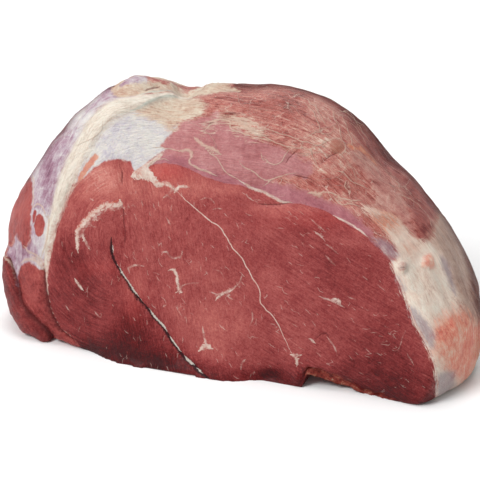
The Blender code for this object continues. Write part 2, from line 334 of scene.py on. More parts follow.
# lines on the surface
# each line: half width in millimetres, then its points in pixels
fatAndGlintLines = (
    (2.1, ((120, 201), (120, 205), (113, 205.5), (105.6, 206.5), (98, 211), (91.8, 216), (85.7, 222), (81, 228),
        (77, 234), (76, 241))),
    (1.0, ((77, 232), (76, 241), (77.3, 252))),
    (0.8, ((80, 232), (84, 240), (89, 249.5))),
    # a tiny painted glint, drawn as a fleck of fat
    (0.6, ((91.2, 199.4), (91.9, 199.6), (92.6, 199.9))),
    (0.45, ((97, 214), (100, 218), (103, 221))),
    (0.4, ((88, 222), (92, 226), (95, 227))),
    (1.1, ((152, 181), (158, 185), (165, 183), (170, 186), (175, 190), (178, 187.5))),
    (0.7, ((175, 189), (180, 186), (184, 186.5), (189, 187))),
    (0.7, ((172, 188), (170, 192), (166.5, 195), (163.5, 197.5))),
    (0.45, ((168, 194), (169, 197), (172, 199))),
    (0.55, ((162.9, 252), (167.5, 252), (172, 257.5), (181, 256.5), (182.5, 251))),
    (0.9, ((169, 270.5), (173.6, 270), (176.6, 276.6), (178, 284.3), (179.7, 290), (176, 292.5))),
    (1.0, ((177.5, 285), (179, 290.5), (181, 292))),
    (0.35, ((181, 287), (186, 284), (192, 283), (198, 282.8))),
    (0.85, ((215.5, 300), (219.5, 295), (227, 292), (234.8, 287.3))),
    (0.45, ((232, 289), (239.4, 282.8), (242.4, 275))),
    (0.4, ((210, 292), (214, 293.5), (219, 295.5))),
    (0.35, ((225.6, 293), (229, 297), (233.5, 300))),
    (0.35, ((213.4, 269.7), (219, 270), (222, 273), (224, 278))),
    (0.6, ((202.7, 327), (203.4, 334.8), (205, 342.5), (205.5, 347))),
    (1.2, ((199, 350.5), (203, 347.5), (207, 346.5), (212, 348.5))),
    (0.4, ((251.6, 310), (252.6, 318), (251, 323), (249.5, 326))),
    (0.6, ((129, 273), (128.8, 268.5), (131, 266), (137, 265), (143, 266))),
    (0.75, ((75, 279), (78.5, 284.5), (83, 290))),
    (0.45, ((95, 312), (98, 315.5), (101, 316.5))),
    (0.4, ((66, 305), (68, 308.5), (69.5, 311))),
    (0.4, ((141.6, 201), (142.6, 206))),
    (0.4, ((153, 204), (154.8, 209))),
    (0.45, ((166.5, 218), (168.5, 221), (170.4, 225))),
    (0.35, ((127.6, 203), (128.8, 208))),
    (0.35, ((132, 203.5), (134.6, 206.5))),
    (0.45, ((200.5, 199.6), (205, 198.2), (210, 198.8), (214, 203))),
    (0.4, ((213, 209.5), (217, 208.3), (221, 208.8))),
    (0.4, ((147.5, 297), (149.5, 299.5))),
    (0.45, ((163.4, 306.5), (165.5, 305))),
    (0.4, ((205, 309), (206.8, 310.2))),
    (0.4, ((191, 313.6), (193, 314.6))),
    (0.3, ((218, 322), (221, 327), (224.5, 329))),
    (0.3, ((154, 272.8), (159, 274))),
    (0.3, ((120, 159.5), (126, 162))),
    (1.0, ((291, 354.7), (296, 355.4), (301, 354.7))),
    (0.8, ((295, 355), (297, 360.8), (296.6, 366))),
    (0.6, ((241, 368.5), (241.5, 363.9), (245, 360))),
    (0.7, ((309, 339), (312, 340.5), (315, 342.8))),
    (0.5, ((319.6, 296.5), (330, 299.6), (338, 304), (344, 306.8))),
    (0.8, ((334, 298.6), (338, 300.5), (341.5, 303))),
    (0.35, ((347, 296.5), (352, 298.5), (358, 300))),
    (0.5, ((314.5, 231.5), (319, 234.5), (323.6, 238.6))),
    (0.5, ((326, 256), (330, 260), (335.4, 265))),
    (0.3, ((291, 245.5), (295, 247), (299, 248.5))),
    (0.3, ((264, 265.6), (271, 267))),
    (0.3, ((362, 276), (368.6, 281))),
    (0.3, ((377.8, 285.5), (385.4, 291.5))),
    (0.25, ((397.7, 351.6), (401.5, 341), (405, 331.7))),
    (0.35, ((407, 353.5), (413.5, 364.5))),
    (0.35, ((312, 320.5), (315.5, 326))),
    (0.45, ((327, 337.5), (331, 342), (335, 347.5), (337, 355))),
    (0.4, ((246.5, 194), (249, 198), (253, 200.4))),
    (0.35, ((310, 218.6), (317, 224), (325.5, 231.8))),
    (0.4, ((326, 244), (332, 248), (338, 254))),
)
arcEdge = ((0.7, ((119, 199.6), (112, 203), (104, 204.6), (96.5, 209), (90, 214), (84, 220), (79, 226), (75, 233))),)
seamLines = (
    (0.3, ((174, 189.5), (181, 196), (188, 202), (200.5, 213), (208.8, 220), (218, 226), (225.6, 235.3),
        (233, 247.6), (241, 256.7), (247, 267.5), (253, 278), (258.5, 287.3), (260, 295), (260.8, 302.7),
        (267, 310), (274.6, 318), (279, 325.6), (283.8, 336), (288.4, 347), (292, 354))),
    (1.1, ((58, 214), (53.5, 230), (50.8, 247.6), (48, 264.4), (46.6, 276.6), (46.6, 288.9), (49.5, 305.7))),
    (0.45, ((49.5, 304), (54, 318), (61.5, 329), (72, 337))),
    (0.75, ((240, 181), (246, 185), (251.6, 188.4), (258, 190.2), (264, 192), (273, 197.6), (281, 201.6),
        (291, 202.4))),
    (0.5, ((334, 216), (341, 219.3), (350, 223.8), (359, 230), (368, 237))),
    (0.4, ((392, 262), (394, 270), (398.5, 280), (403, 291), (407.5, 303), (412, 315), (416.8, 327), (424.5, 339.4),
        (430.6, 351.6), (435.2, 367), (437.4, 382), (436.6, 396))),
)
veinLines = (
    (0.8, ((22, 263), (26, 260), (31, 259), (37, 262), (42, 267), (44.5, 272))),
    (0.9, ((25, 246), (29, 251), (35, 254), (41, 259), (44, 265))),
    (0.6, ((48, 214), (49.5, 228), (46, 244), (42, 256))),
    (0.5, ((32.5, 174), (33.8, 186), (34, 198), (34.5, 208))),
    (0.5, ((35, 208), (39, 204), (43, 208), (46, 216))),
    (0.6, ((0, 251), (4, 250), (6, 256), (11, 264), (15, 274))),
    (0.97, ((194.4, 137.5), (198, 141.5), (204, 145), (212, 149), (220.6, 154))),
    (0.3, ((203, 145.7), (208, 151.5), (214.3, 156.4), (221.5, 164), (226.5, 173.3), (235.7, 177.9), (241, 181.5))),
    (0.36, ((153, 148), (166.8, 149), (180.6, 151.6))),
    (0.94, ((179, 151.8), (186, 151.2), (191, 153), (192.5, 158))),
    (0.54, ((192.5, 157), (189.8, 162), (197.5, 168.4), (206.6, 171.2), (217, 176))),
    (0.25, ((149, 166), (154, 161.5), (160.7, 159.3), (164, 158.6), (169, 161))),
    (0.3, ((239.4, 161), (244, 167), (253, 171.7), (262.4, 178.6), (271.5, 179.4), (282, 175.6), (289, 174),
        (296, 173.3))),
    (0.25, ((271.5, 179.4), (268, 183), (263, 186))),
    (0.29, ((265, 157), (270, 164), (276, 165.6), (282, 161), (286, 153.4), (289, 150))),
    (0.22, ((261, 153), (263, 159), (268, 164.5))),
    (0.29, ((254.7, 128), (270, 129.5), (288, 136.5), (306.7, 142.7), (325, 147))),
    (0.3, ((257.8, 133.5), (273, 141), (288, 147), (303.7, 148), (311, 150.3), (313.6, 158), (317.5, 165.6))),
    (0.29, ((300, 142), (306, 150), (316, 146), (324, 143), (330, 140))),
    (0.36, ((335.8, 171.5), (341, 172.5), (347, 176.5), (351, 182), (358, 185.6), (367, 188.8))),
    (0.25, ((346, 181), (344.5, 187), (350, 193))),
    (1.08, ((309, 193.4), (314, 193.6), (319, 194.8), (323, 192))),
    (0.5, ((321, 192), (331, 193), (338, 196.5), (346, 199.5), (360, 201))),
    (0.36, ((334, 198), (338, 203), (343, 205.6))),
    (0.36, ((342, 206), (350, 205), (359, 206.5))),
    (0.5, ((204, 131), (210, 124.5), (217, 121), (224, 119.8), (229.6, 122), (230.5, 127.5), (240, 132.5),
        (248, 135.5))),
    (0.43, ((206, 122.5), (212, 121), (217, 119.6))),
    (0.86, ((232, 117), (238, 121), (246, 126), (254, 133), (260, 137))),
    (0.43, ((240, 118), (252, 122), (262, 131))),
    (0.29, ((396, 194.7), (408, 197.8), (420.6, 207), (428, 219), (433, 231))),
    (0.29, ((396, 223), (405, 229), (413, 235), (417.6, 241.4), (423.7, 240), (429.8, 250.6))),
    (0.29, ((338.7, 113), (343.5, 111.5), (349, 113), (356, 121), (365.5, 128))),
    (0.29, ((339.5, 114), (344, 121), (348.7, 132), (351.7, 142.7), (354.8, 152))),
    (0.25, ((345.6, 121), (356, 127), (362.4, 136.5), (367, 146))),
    (0.36, ((294.5, 94.5), (300.6, 98), (313, 105), (320.5, 116.6), (325, 124))),
    (0.25, ((303, 102), (311, 110), (317, 121), (322, 133), (330, 139))),
    (0.25, ((322, 104), (332, 112), (336, 122), (341, 134), (344, 146))),
    (0.25, ((330, 107), (337, 109), (352, 118), (362, 130), (369, 140))),
    (0.25, ((309, 136), (316, 132), (326, 135), (333, 131))),
    (0.29, ((329, 141), (334, 138.5), (340, 139), (345, 144), (345.5, 150), (341, 155))),
    (0.22, ((352, 152), (357, 158), (366, 163), (372, 172))),
    (0.25, ((386, 170), (392, 176), (398, 184), (398, 190))),
    (0.25, ((385, 158), (392, 164), (399, 172))),
)
tendonLine = ((186, 95, 3.0), (176, 95, 4.0), (160, 97, 6.0), (145, 100, 8.0), (129, 104, 9.5), (110, 111, 12.5),
    (93, 127, 12.5), (81, 148, 11.5), (72, 167, 10.0), (64.5, 186, 8.5), (57.5, 207, 6.6), (52, 226, 5.4),
    (49, 243, 4.0), (47, 258, 2.6), (46, 268, 1.4), (45.5, 276, 0.6))
# pale greenish strokes along the top of the tendon: painted highlight, raised a little in the relief
greenHighlightLines = (
    (1.3, ((138, 94.5), (147, 91.5), (156, 89.6), (168, 89.3), (184, 92))),
    (0.8, ((131, 111), (140, 107.5), (147, 103.5), (156, 99.5), (166, 97), (184, 97.5))),
)
# dark lines painted in creases and hollows: painted shade over grooves in the relief
creaseLines = (
    (0.45, ((121.7, 170), (121.9, 176), (121.7, 184))),
    (0.35, ((122.5, 205), (123.5, 222), (124.8, 232), (124, 246))),
    (0.4, ((256, 204), (270, 204.5), (281, 204), (290, 202.6))),
    (0.4, ((294.5, 174.8), (302, 176.6), (311, 178))),
    (0.9, ((144.6, 87.6), (149, 86.4), (154, 85.6), (159, 84.6))),
    (0.4, ((208, 123.5), (211, 122.5), (215, 121.8))),
    (0.3, ((296.8, 150), (290, 156), (286, 162))),
    (0.22, ((322, 162), (330, 156), (338, 152.5))),
    (0.25, ((400, 268.6), (401.5, 268.4), (403, 268.2))),
    (0.35, ((316.5, 338), (321, 334.5), (325.7, 333.4), (328, 336.5))),
    (0.5, ((301, 366), (303.5, 374), (303.5, 383))),
)
# the crack: a painted shadow inside it, over a groove in the relief
crackLine = ((111, 238.4, 0.3), (110.6, 244, 0.6), (110.6, 251, 0.8), (112.5, 259, 0.85), (116, 266, 0.8),
    (122.5, 276.6, 0.95), (128.6, 285.8, 1.0), (134.7, 295, 1.0), (139.3, 301, 0.9), (147, 310, 1.05),
    (154.6, 319.5, 1.1), (162, 327, 1.1), (168.4, 337.9, 1.1), (176, 348.6, 1.1), (183.7, 357.8, 1.15),
    (192.9, 365.4, 1.15), (200.5, 373, 1.1), (207, 377.7, 0.7))
crackSilver = (
    (0.6, ((112, 246.6), (112.4, 252))),
    (0.9, ((116.8, 265.8), (123.4, 276.2), (129.4, 285.2), (135.6, 294.4), (137.8, 297.2))),
    (0.6, ((139.8, 300.2), (141.8, 302.6))),
    (0.9, ((148.2, 310), (155.4, 319), (162.8, 326.4), (165.6, 331.2))),
    (0.75, ((169.2, 337), (172.8, 342.4), (176.8, 347.8), (179.6, 351.2))),
    (0.85, ((183.8, 356.4), (187.8, 360.6), (193, 364.4))),
    (0.6, ((196.8, 368.6), (201.6, 372.4))),
)
# creases beside the pad and the cut face: painted shade over grooves in the relief
shadedPadCrease = ((9, 259, 0.5), (13, 272, 0.9), (17.5, 288, 1.2), (22.5, 304, 1.3), (33.5, 318, 1.4), (49, 331, 1.2),
    (60, 341, 0.9))
shadedFaceCrease = ((43.4, 270, 0.4), (44.6, 289, 0.9), (47.6, 306, 1.0), (52.5, 318.5, 1.0), (61, 331.5, 0.9),
    (72, 340, 0.6))


# 3-D points under the pixels, the ones that meet the body; a third value is carried along
def onSurface(path):
    found = []
    for row in path:
        hit = tree.ray_cast(Vector(eye), rayThrough(row[0], row[1]))
        if hit[0] is not None:
            found.append((*hit[0], *row[2:]))
    return np.array(found)


def tapered(width, points, spacing=2.0):
    path = throughPoints(points, spacing)
    t = np.linspace(0, 1, len(path))
    half = width * np.clip(np.minimum(t, 1 - t) * 5 + 0.25, 0, 1)
    return np.column_stack((path, half))


# the nearest place on each stretch of a line: its number, share along, length, gap, distance and direction
def stretches(line, place):
    for number, (a, b) in enumerate(zip(line, line[1:])):
        way = b - a
        length = np.linalg.norm(way)
        if length < 1e-6:
            continue
        t = np.clip((place - a) @ way / length ** 2, 0, 1)
        gap = place - a - t[:, None] * way
        yield number, t, length, gap, np.linalg.norm(gap, axis=1), way


# signed place across the nearest line as a share of its half width, and the distance outside it, in mm
def layLines(paths, margin=5.0):
    across = np.full(len(skinMm), 9.0)
    outside = np.full(len(skinMm), 9.0)
    for path in paths:
        if len(path) < 2:
            continue
        line, half = path[:, :3] * 1000, path[:, 3]
        low, high = line.min(0) - margin, line.max(0) + margin
        near = np.where(((skinMm > low) & (skinMm < high)).all(1))[0]
        if not len(near):
            continue
        place, facingHere = skinMm[near], normals[near]
        best = np.full(len(near), 1e9)
        side = np.zeros(len(near))
        width = np.ones(len(near))
        for number, t, length, gap, reach, way in stretches(line, place):
            closer = reach < best
            best = np.where(closer, reach, best)
            sideways = np.cross(facingHere, way / length)
            side = np.where(closer, np.sum(gap * sideways, 1), side)
            width = np.where(closer, half[number] + (half[number + 1] - half[number]) * t, width)
        beyond = best - width
        better = beyond < outside[near]
        chosen = near[better]
        outside[chosen] = beyond[better]
        across[chosen] = np.clip(side[better] / width[better], -9, 9)
    return across, outside


# place along a line and across it, in mm
def alongLine(path):
    line = path[:, :3] * 1000
    along = np.zeros(len(skinMm))
    across = np.zeros(len(skinMm))
    best = np.full(len(skinMm), 1e9)
    start = 0.0
    for number, t, length, gap, reach, way in stretches(line, skinMm):
        closer = reach < best
        best = np.where(closer, reach, best)
        along = np.where(closer, start + t * length, along)
        sign = np.sign(np.sum(gap * np.cross(normals, way), 1))
        across = np.where(closer, reach * sign, across)
        start += length
    return along, across


# a wandering path that stays on the skin, from a point and a rough heading
def surfaceWalk(start, heading, length, step, wander, source):
    place = Vector(start)
    way = Vector(heading)
    path = []
    turn = 0.0
    for _ in range(int(length / step)):
        hit = tree.find_nearest(place)
        if hit[0] is None:
            break
        path.append(tuple(hit[0]))
        normal = hit[1]
        way = way - normal * way.dot(normal)
        if way.length < 1e-6:
            break
        way.normalize()
        turn = turn * 0.7 + source.normal() * wander
        sideways = normal.cross(way)
        way = (way + sideways * turn).normalized()
        place = hit[0] + way * step
    return path


def pathsOf(lines):
    return [onSurface(tapered(width, points)) for width, points in lines]


# a path with small irregular bends
def wandering(points, reach=1.1, size=5.0):
    path = throughPoints(points, 3.0)
    sway = np.stack((cloud(path, size, 21), cloud(path, size, 22)), 1)
    ease = np.clip(np.minimum(np.arange(len(path)), np.arange(len(path))[::-1]) / 2, 0, 1)
    return path + reach * sway * ease[:, None]


# short teeth on the inner side of the big arc of fat
fringe = {"spacing": 2.6, "reach": (2.5, 6.0), "sway": 0.25, "half": (0.3, 0.55)}


def fringeLines():
    arc = throughPoints(fatAndGlintLines[0][1], fringe["spacing"])
    found = []
    for (u, v), (du, dv) in zip(arc[1:-1], arc[2:] - arc[:-2]):
        length = math.hypot(du, dv)
        reach = draws.uniform(*fringe["reach"])
        sway = draws.normal() * fringe["sway"]
        side = (-dv / length + sway, du / length)
        if side[1] < 0:
            side = (-side[0], -side[1])
        points = ((u, v), (u + side[0] * reach * 0.5, v + side[1] * reach * 0.5),
                  (u + side[0] * reach, v + side[1] * reach))
        found.append((draws.uniform(*fringe["half"]), points))
    return tuple(found)


# how wide the nearest line is, so that thin lines can be painted fainter
def lineWidths(paths):
    best = np.full(len(skinMm), 1e9)
    wide = np.zeros(len(skinMm))
    for path in paths:
        if len(path) < 2:
            continue
        line = path[:, :3] * 1000
        low, high = line.min(0) - 3, line.max(0) + 3
        near = np.where(((skinMm > low) & (skinMm < high)).all(1))[0]
        for row in line:
            reach = np.linalg.norm(skinMm[near] - row, axis=1)
            closer = reach < best[near]
            best[near[closer]] = reach[closer]
            wide[near[closer]] = path[:, 3].max()
    return wide


fatAndGlintPaths = pathsOf([(width, wandering(points, 0.6, 3.0)) for width, points in fatAndGlintLines] + list(fringeLines()))
seamPaths = pathsOf([(width, wandering(points, 0.7, 4.0)) for width, points in seamLines])
veinPaths = pathsOf([(width, wandering(points)) for width, points in veinLines])
greenHighlightPaths = pathsOf(greenHighlightLines)
creasePaths = pathsOf(creaseLines)
silverPaths = pathsOf(crackSilver)
crackPath = onSurface(throughPoints(crackLine, 2.0))
padPath = onSurface(throughPoints(shadedPadCrease, 2.0))
facePath = onSurface(throughPoints(shadedFaceCrease, 2.0))
tendonPath = onSurface(throughPoints(tendonLine, 3.0))
tendonPath[:, 3] *= mmPerPixel

# small flecks of fat in the cut face, along its fibres
fleckMix = {"count": 260, "length": (1.0, 6.5), "half": (0.10, 0.24), "swing": 0.35, "bend": 0.25,
            "columns": (52, 432), "rows": (165, 395), "inset": 5}
faceFibres = {"steep": 78, "flat": 32, "turnFrom": 150, "turnTo": 320}  # degrees, and the columns where they turn


def flatShare(u):
    return smooth(faceFibres["turnFrom"], faceFibres["turnTo"], u)


def faceFlow(u):
    return math.radians(faceFibres["steep"] + (faceFibres["flat"] - faceFibres["steep"]) * float(flatShare(u)))


def scatterFlecks():
    found = []
    faceOutline = outlines["face"]
    while len(found) < fleckMix["count"]:
        u, v = draws.uniform(*fleckMix["columns"]), draws.uniform(*fleckMix["rows"])
        if edgeDistance(np.array([[u, v]]), faceOutline)[0] < fleckMix["inset"]:
            continue
        angle = faceFlow(u) + draws.normal() * fleckMix["swing"]
        reach = draws.uniform(*fleckMix["length"])
        bend = draws.normal() * fleckMix["bend"]
        points = [(u + reach * s * math.cos(angle + bend * s), v + reach * s * math.sin(angle + bend * s))
                  for s in (-0.5, 0, 0.5)]
        path = onSurface(tapered(draws.uniform(*fleckMix["half"]), points, 1.0))
        if len(path) > 2:
            found.append(path)
    return found


fleckPaths = scatterFlecks()

# thin pale threads over the top, the back and the right end, along the muscle
threadMix = {"count": 90, "length": (0.012, 0.05), "step": 0.002, "wander": 0.10, "half": (0.10, 0.22),
             "tilt": 0.22, "leftOutOnPurple": 0.8}


def scatterThreads():
    found = []
    candidates = np.where((regionDistance["face"] < -4) & (regionDistance["silver"] < -2)
                          & (regionDistance["fascia"] < 0) & (underside < 0.3) & (skinMm[:, 2] > 12)
                          & (skinMm[:, 0] > -112))[0]
    for _ in range(threadMix["count"]):
        index = int(candidates[draws.integers(len(candidates))])
        if regionDistance["purple"][index] > 2 and draws.random() < threadMix["leftOutOnPurple"]:
            continue
        tilt = draws.normal() * threadMix["tilt"]
        points = surfaceWalk(skin[index], (1.0, tilt, tilt), draws.uniform(*threadMix["length"]),
                             threadMix["step"], threadMix["wander"], draws)
        if len(points) < 4:
            continue
        if edgeDistance(toPixels(np.array(points)), outlines["face"]).max() > -3 and points[0][1] < 0.02:
            continue
        t = np.linspace(0, 1, len(points))
        half = draws.uniform(*threadMix["half"]) * np.clip(np.minimum(t, 1 - t) * 4 + 0.2, 0, 1)
        found.append(np.column_stack((points, half)))
    return found


threadPaths = scatterThreads()
print("lines laid", len(fatAndGlintPaths) + len(veinPaths) + len(fleckPaths) + len(threadPaths))

lineSets = {
    "arcEdge": pathsOf(arcEdge),
    "fat": fatAndGlintPaths,
    "fleck": fleckPaths,
    "seam": seamPaths,
    "vein": veinPaths,
    "thread": threadPaths,
    "green": greenHighlightPaths,
    "crease": creasePaths,
    "crack": [crackPath],
    "crackSilver": silverPaths,
    "shadedPadCrease": [padPath, facePath],
    "tendon": [tendonPath],
}
laid = {name: layLines(paths, 16.0 if name == "tendon" else 6.0) for name, paths in lineSets.items()}
bandAlong, bandAcross = alongLine(tendonPath)
fasciaPath = onSurface(throughPoints(((345, 218), (371, 240), (392, 262), (403, 291), (412, 315), (424, 340),
                                      (434, 365), (436, 394)), 4.0))
rimAlong, rimAcross = alongLine(fasciaPath)

# relief, in millimetres
relief = {
    "broad": 0.75,
    "middle": 0.30,
    "fine": 0.10,
    "wrinkle": 0.275,
    "smallWrinkle": 0.6,  # share of the wrinkle
    "fibre": 0.16,
    "tendon": 1.1,
    "strand": 0.35,
    "silver": 0.35,
    "silverWave": 0.25,
    "fascia": 0.55,
    "fasciaWave": 0.4,
    "vein": 0.24,
    "thread": 0.28,
    "fat": 0.10,
    "green": 0.3,
    "crease": 0.8,
    "crack": 1.5,
    "pad": 2.6,
    "padSlab": 0.9,
    "torn": 1.0,
    "tornEdge": 1.6,
    "undercut": 1.6,
    "underside": 0.15,  # share of the relief that the underside keeps
    "knob": 0.9,
    "smallKnob": 0.5,
    "knobSink": 1.7,
}
swellSize = {  # how large the swells of each are
    "broad": 27,
    "middle": 11,
    "fine": 3.4,
    "wrinkle": (26, 3.6, 9),
    "smallWrinkle": (14, 2.4, 7),
    "fibre": (16, 2.8),
    "strand": (22, 2.6),
    "silver": (18, 3.0),
    "fascia": (24, 4.0),
    "torn": (7, 5, 1.8),
    "tornEdge": 4.5,
    "knob": 9,
    "smallKnob": 4.5,
}
calmed = {"purple": 0.8, "silver": 0.75, "fascia": 0.6}  # how much less these wrinkle
raised = {"strip": (0.7, 0.8), "fatNode": (0.8, 0.5), "nodule": (0.7, 0.6), "island": (0.5, 1.0)}  # rise, edge
bumps = (  # pixel place, radius in pixels, rise in mm
    (401, 267, 5.5, 1.7),
    (426, 263, 6.0, 1.2),
    (337, 147, 7.0, 0.8),
    (421, 219, 11.0, 0.9),
    (270, 374, 11.0, -1.8),
    (297, 378, 6.0, 2.2),
    (308, 378, 4.5, -3.5),
    (318, 381, 7.0, -1.5),
    (189, 92, 5.0, -1.2),
    (68, 246, 8.0, -0.8),
    (77, 262, 8.0, -0.9),
    (89, 277, 9.0, -1.0),
    (101, 288, 9.0, -0.8),
    (112, 305, 10.0, -0.6),
    (463, 386, 8.0, 0.8),
    (46, 337, 12.0, 3.0),
    (145, 172, 9.0, 0.5),
    (6, 252, 5.0, 0.8),
    (92, 262, 26.0, -1.2),
    (40, 225, 7.0, -0.5),
)
crestBumps = (  # the same along the top outline
    (136, 80, 12.0, 0.8),
    (64, 131, 12.0, -1.8),
    (184, 90, 9.0, -3.0),
    (212, 84, 9.0, 0.6),
    (246, 86, 18.0, -1.9),
    (390, 158, 15.0, -2.2),
)


def inside(name, soft=0.8):
    return smooth(-soft, soft, regionDistance[name])


def lineHeight(name, spread=0.9):
    return 1 - smooth(-0.3, spread, laid[name][1])


def swells(name, places, layer):
    return cloud(places, swellSize[name], layer)


def reliefOf():
    flow = np.stack((skinMm[:, 0], girthMm, skinMm[:, 2] * 0.2), 1)
    face = inside("face", 1.5)
    tendon = 1 - smooth(-3.5, 0.5, laid["tendon"][1])
    fascia = inside("fascia")
    silver = inside("silver")
    lifted = relief["broad"] * swells("broad", skinMm, 1) + relief["middle"] * swells("middle", skinMm, 2)
    lifted += relief["fine"] * swells("fine", skinMm, 3)
    wrinkles = 1 - np.abs(swells("wrinkle", flow, 4)) * 2
    wrinkles += relief["smallWrinkle"] * (1 - np.abs(swells("smallWrinkle", flow, 5)) * 2)
    calm = 1.0
    for name, share in calmed.items():
        calm = calm - share * inside(name)
    calm = np.clip(calm, 0.1, 1)
    lifted += relief["wrinkle"] * wrinkles * (1 - face) * calm * (1 - underside)
    facePlane = pixels * mmPerPixel
    flat = flatShare(pixels[:, 0])
    for steepness, weight in ((faceFibres["steep"], 1 - flat), (faceFibres["flat"], flat)):
        angle = math.radians(steepness)
        along = facePlane @ (math.cos(angle), math.sin(angle))
        across = facePlane @ (-math.sin(angle), math.cos(angle))
        lifted += relief["fibre"] * weight * face * swells("fibre", np.stack((along, across), 1), 6)
    band = np.stack((bandAlong, bandAcross), 1)
    lifted += tendon * (relief["tendon"] + relief["strand"] * swells("strand", band, 7))
    lifted += silver * (relief["silver"] + relief["silverWave"] * swells("silver", band, 8))
    rim = np.stack((rimAlong, rimAcross), 1)
    lifted += fascia * (relief["fascia"] + relief["fasciaWave"] * swells("fascia", rim, 9))
    for name in ("vein", "thread", "fat", "green"):
        lifted += relief[name] * lineHeight(name)
    for name, line, spread in (("crease", "crease", 1.2), ("crack", "crack", 0.6), ("pad", "shadedPadCrease", 1.4)):
        lifted -= relief[name] * lineHeight(line, spread)
    ragged = regionDistance["tornFoot"] + relief["tornEdge"] * swells("tornEdge", skinMm, 11)
    torn = smooth(-0.8, 0.8, ragged) * smooth(-0.5, 0.1, facing)
    lifted += torn * (relief["torn"] * swells("torn", skinMm, 10) - relief["undercut"])
    lifted += relief["padSlab"] * inside("padSlab", 0.6) * smooth(-0.1, 0.2, facing)
    for name, (rise, edge) in raised.items():
        lifted += rise * inside(name, edge)
    knobs = inside("knobs", 2.0) * smooth(-0.3, 0.1, facing)
    lifted += knobs * (relief["knob"] * swells("knob", skinMm, 12)
                       + relief["smallKnob"] * swells("smallKnob", skinMm, 13) - relief["knobSink"])
    for u, v, radius, rise in bumps:
        gap = np.hypot(pixels[:, 0] - u, pixels[:, 1] - v) / radius
        lifted += rise * np.exp(-gap ** 2 * 1.4) * smooth(-0.1, 0.1, facing)
    for u, v, radius, rise in crestBumps:
        gap = np.hypot(pixels[:, 0] - u, pixels[:, 1] - v) / radius
        lifted += rise * np.exp(-gap ** 2 * 1.1) * smooth(-0.6, -0.25, facing)
    return lifted * (1 - (1 - relief["underside"]) * underside), torn


lifted, torn = reliefOf()
shaped = skin + normals * (lifted / 1000)[:, None]
shaped[:, 2] = np.where(skinMm[:, 2] < 0.8, skin[:, 2], np.maximum(shaped[:, 2], 0.0))

# beside the lip the lower edge stays off the floor
notch = {"from": (305, 378), "to": (352, 386), "rise": 8.2, "tall": 15.0, "deep": 20.0}
notchEnds = onSurface((notch["from"], notch["to"])) * 1000
notchAlong = (skinMm[:, 0] - notchEnds[0, 0]) / (notchEnds[1, 0] - notchEnds[0, 0])
notchFront = notchEnds[0, 1] + (notchEnds[1, 1] - notchEnds[0, 1]) * notchAlong
fade = 1 - smooth(0.0, 0.9, notchAlong) * 0.72 - 0.28 * smooth(0.9, 1.3, notchAlong)
rise = notch["rise"] * smooth(-0.05, 0.02, notchAlong) * fade
rise *= smooth(notch["tall"], 2, skinMm[:, 2]) * smooth(notch["deep"], 6, skinMm[:, 1] - notchFront)
shaped[:, 2] += rise / 1000
bodyMesh.vertices.foreach_set("co", shaped.ravel())
bodyMesh.update()
print("relief from", round(float(lifted.min()), 2), "to", round(float(lifted.max()), 2), "mm")

# values that the finish reads
lobeShape = {"middle": (132, 236), "turn": 38.0, "left": 100, "right": 122}  # fibres curl round this place
# painted light and shade mixed with the meat's own tone: the lower left darker where the face turns under, the upper
# left lighter
toneAndShadeSpots = (  # on the cut face: pixel place, reach across and down in pixels, lightness, redness
    (98, 178, 30, 24, 0.52, 0.0),
    (70, 215, 14, 20, 0.20, 0.0),
    (150, 186, 40, 18, 0.20, 0.0),
    (215, 188, 50, 10, 0.26, 0.0),
    (280, 208, 44, 8, 0.28, 0.0),
    (360, 240, 36, 8, 0.20, 0.0),
    (202, 205, 20, 8, -0.16, 0.0),
    (240, 260, 16, 30, -0.12, 0.0),
    (110, 226, 24, 16, 0.14, 0.0),
    (400, 380, 40, 26, -0.10, 0.0),
    (205, 325, 34, 30, 0.22, -0.1),
    (303, 345, 16, 12, 0.14, 0.0),
    (84, 284, 30, 36, -0.52, 0.0),
    (136, 326, 22, 34, -0.50, 0.0),
    (112, 345, 44, 20, -0.42, 0.0),
    (170, 362, 26, 12, -0.30, 0.0),
    (58, 285, 12, 50, -0.10, 0.0),
    (66, 242, 10, 26, -0.12, 0.0),
    (175, 255, 50, 46, 0.06, 0.0),
    (165, 172, 22, 10, 0.10, 0.6),
    (350, 262, 70, 50, -0.14, 0.0),
    (330, 218, 60, 12, 0.10, 0.3),
    (372, 350, 56, 44, -0.26, 0.0),
    (350, 372, 50, 20, -0.24, 0.0),
    (410, 384, 30, 16, -0.24, 0.0),
    (275, 350, 26, 40, -0.10, 0.0),
    (134, 304, 11, 30, 0.30, 0.20),
    (98, 268, 18, 8, 0.16, 0.20),
    (270, 374, 12, 6, -0.4, 0.0),
)
# painted light and shade mixed with the meat's own tone outside the cut face, darker near the outlines
skinToneAndShadeSpots = (  # the same outside the cut face
    (24, 215, 14, 36, 0.10, 0.0),
    (10, 300, 14, 34, -0.40, 0.0),
    (38, 328, 22, 14, -0.28, 0.0),
    (8, 262, 10, 14, -0.16, 0.0),
    (48, 158, 7, 24, -0.30, 0.0),
    (62, 134, 7, 18, -0.20, 0.0),
    (70, 165, 10, 26, -0.20, 0.0),
    (90, 130, 18, 24, 0.34, 0.0),
    (44, 248, 14, 18, 0.20, 0.0),
    (472, 320, 9, 50, -0.34, 0.25),
    (408, 236, 10, 16, 0.10, 0.0),
    (384, 222, 22, 16, -0.30, 1.0),
    (408, 250, 12, 10, -0.14, 0.5),
    (290, 96, 60, 8, -0.20, 0.0),
    (250, 165, 24, 16, 0.10, 0.0),
    (346, 138, 30, 34, 0.20, 0.16),
    (330, 185, 44, 16, -0.04, 0.5),
    (262, 108, 60, 16, -0.14, 0.25),
)


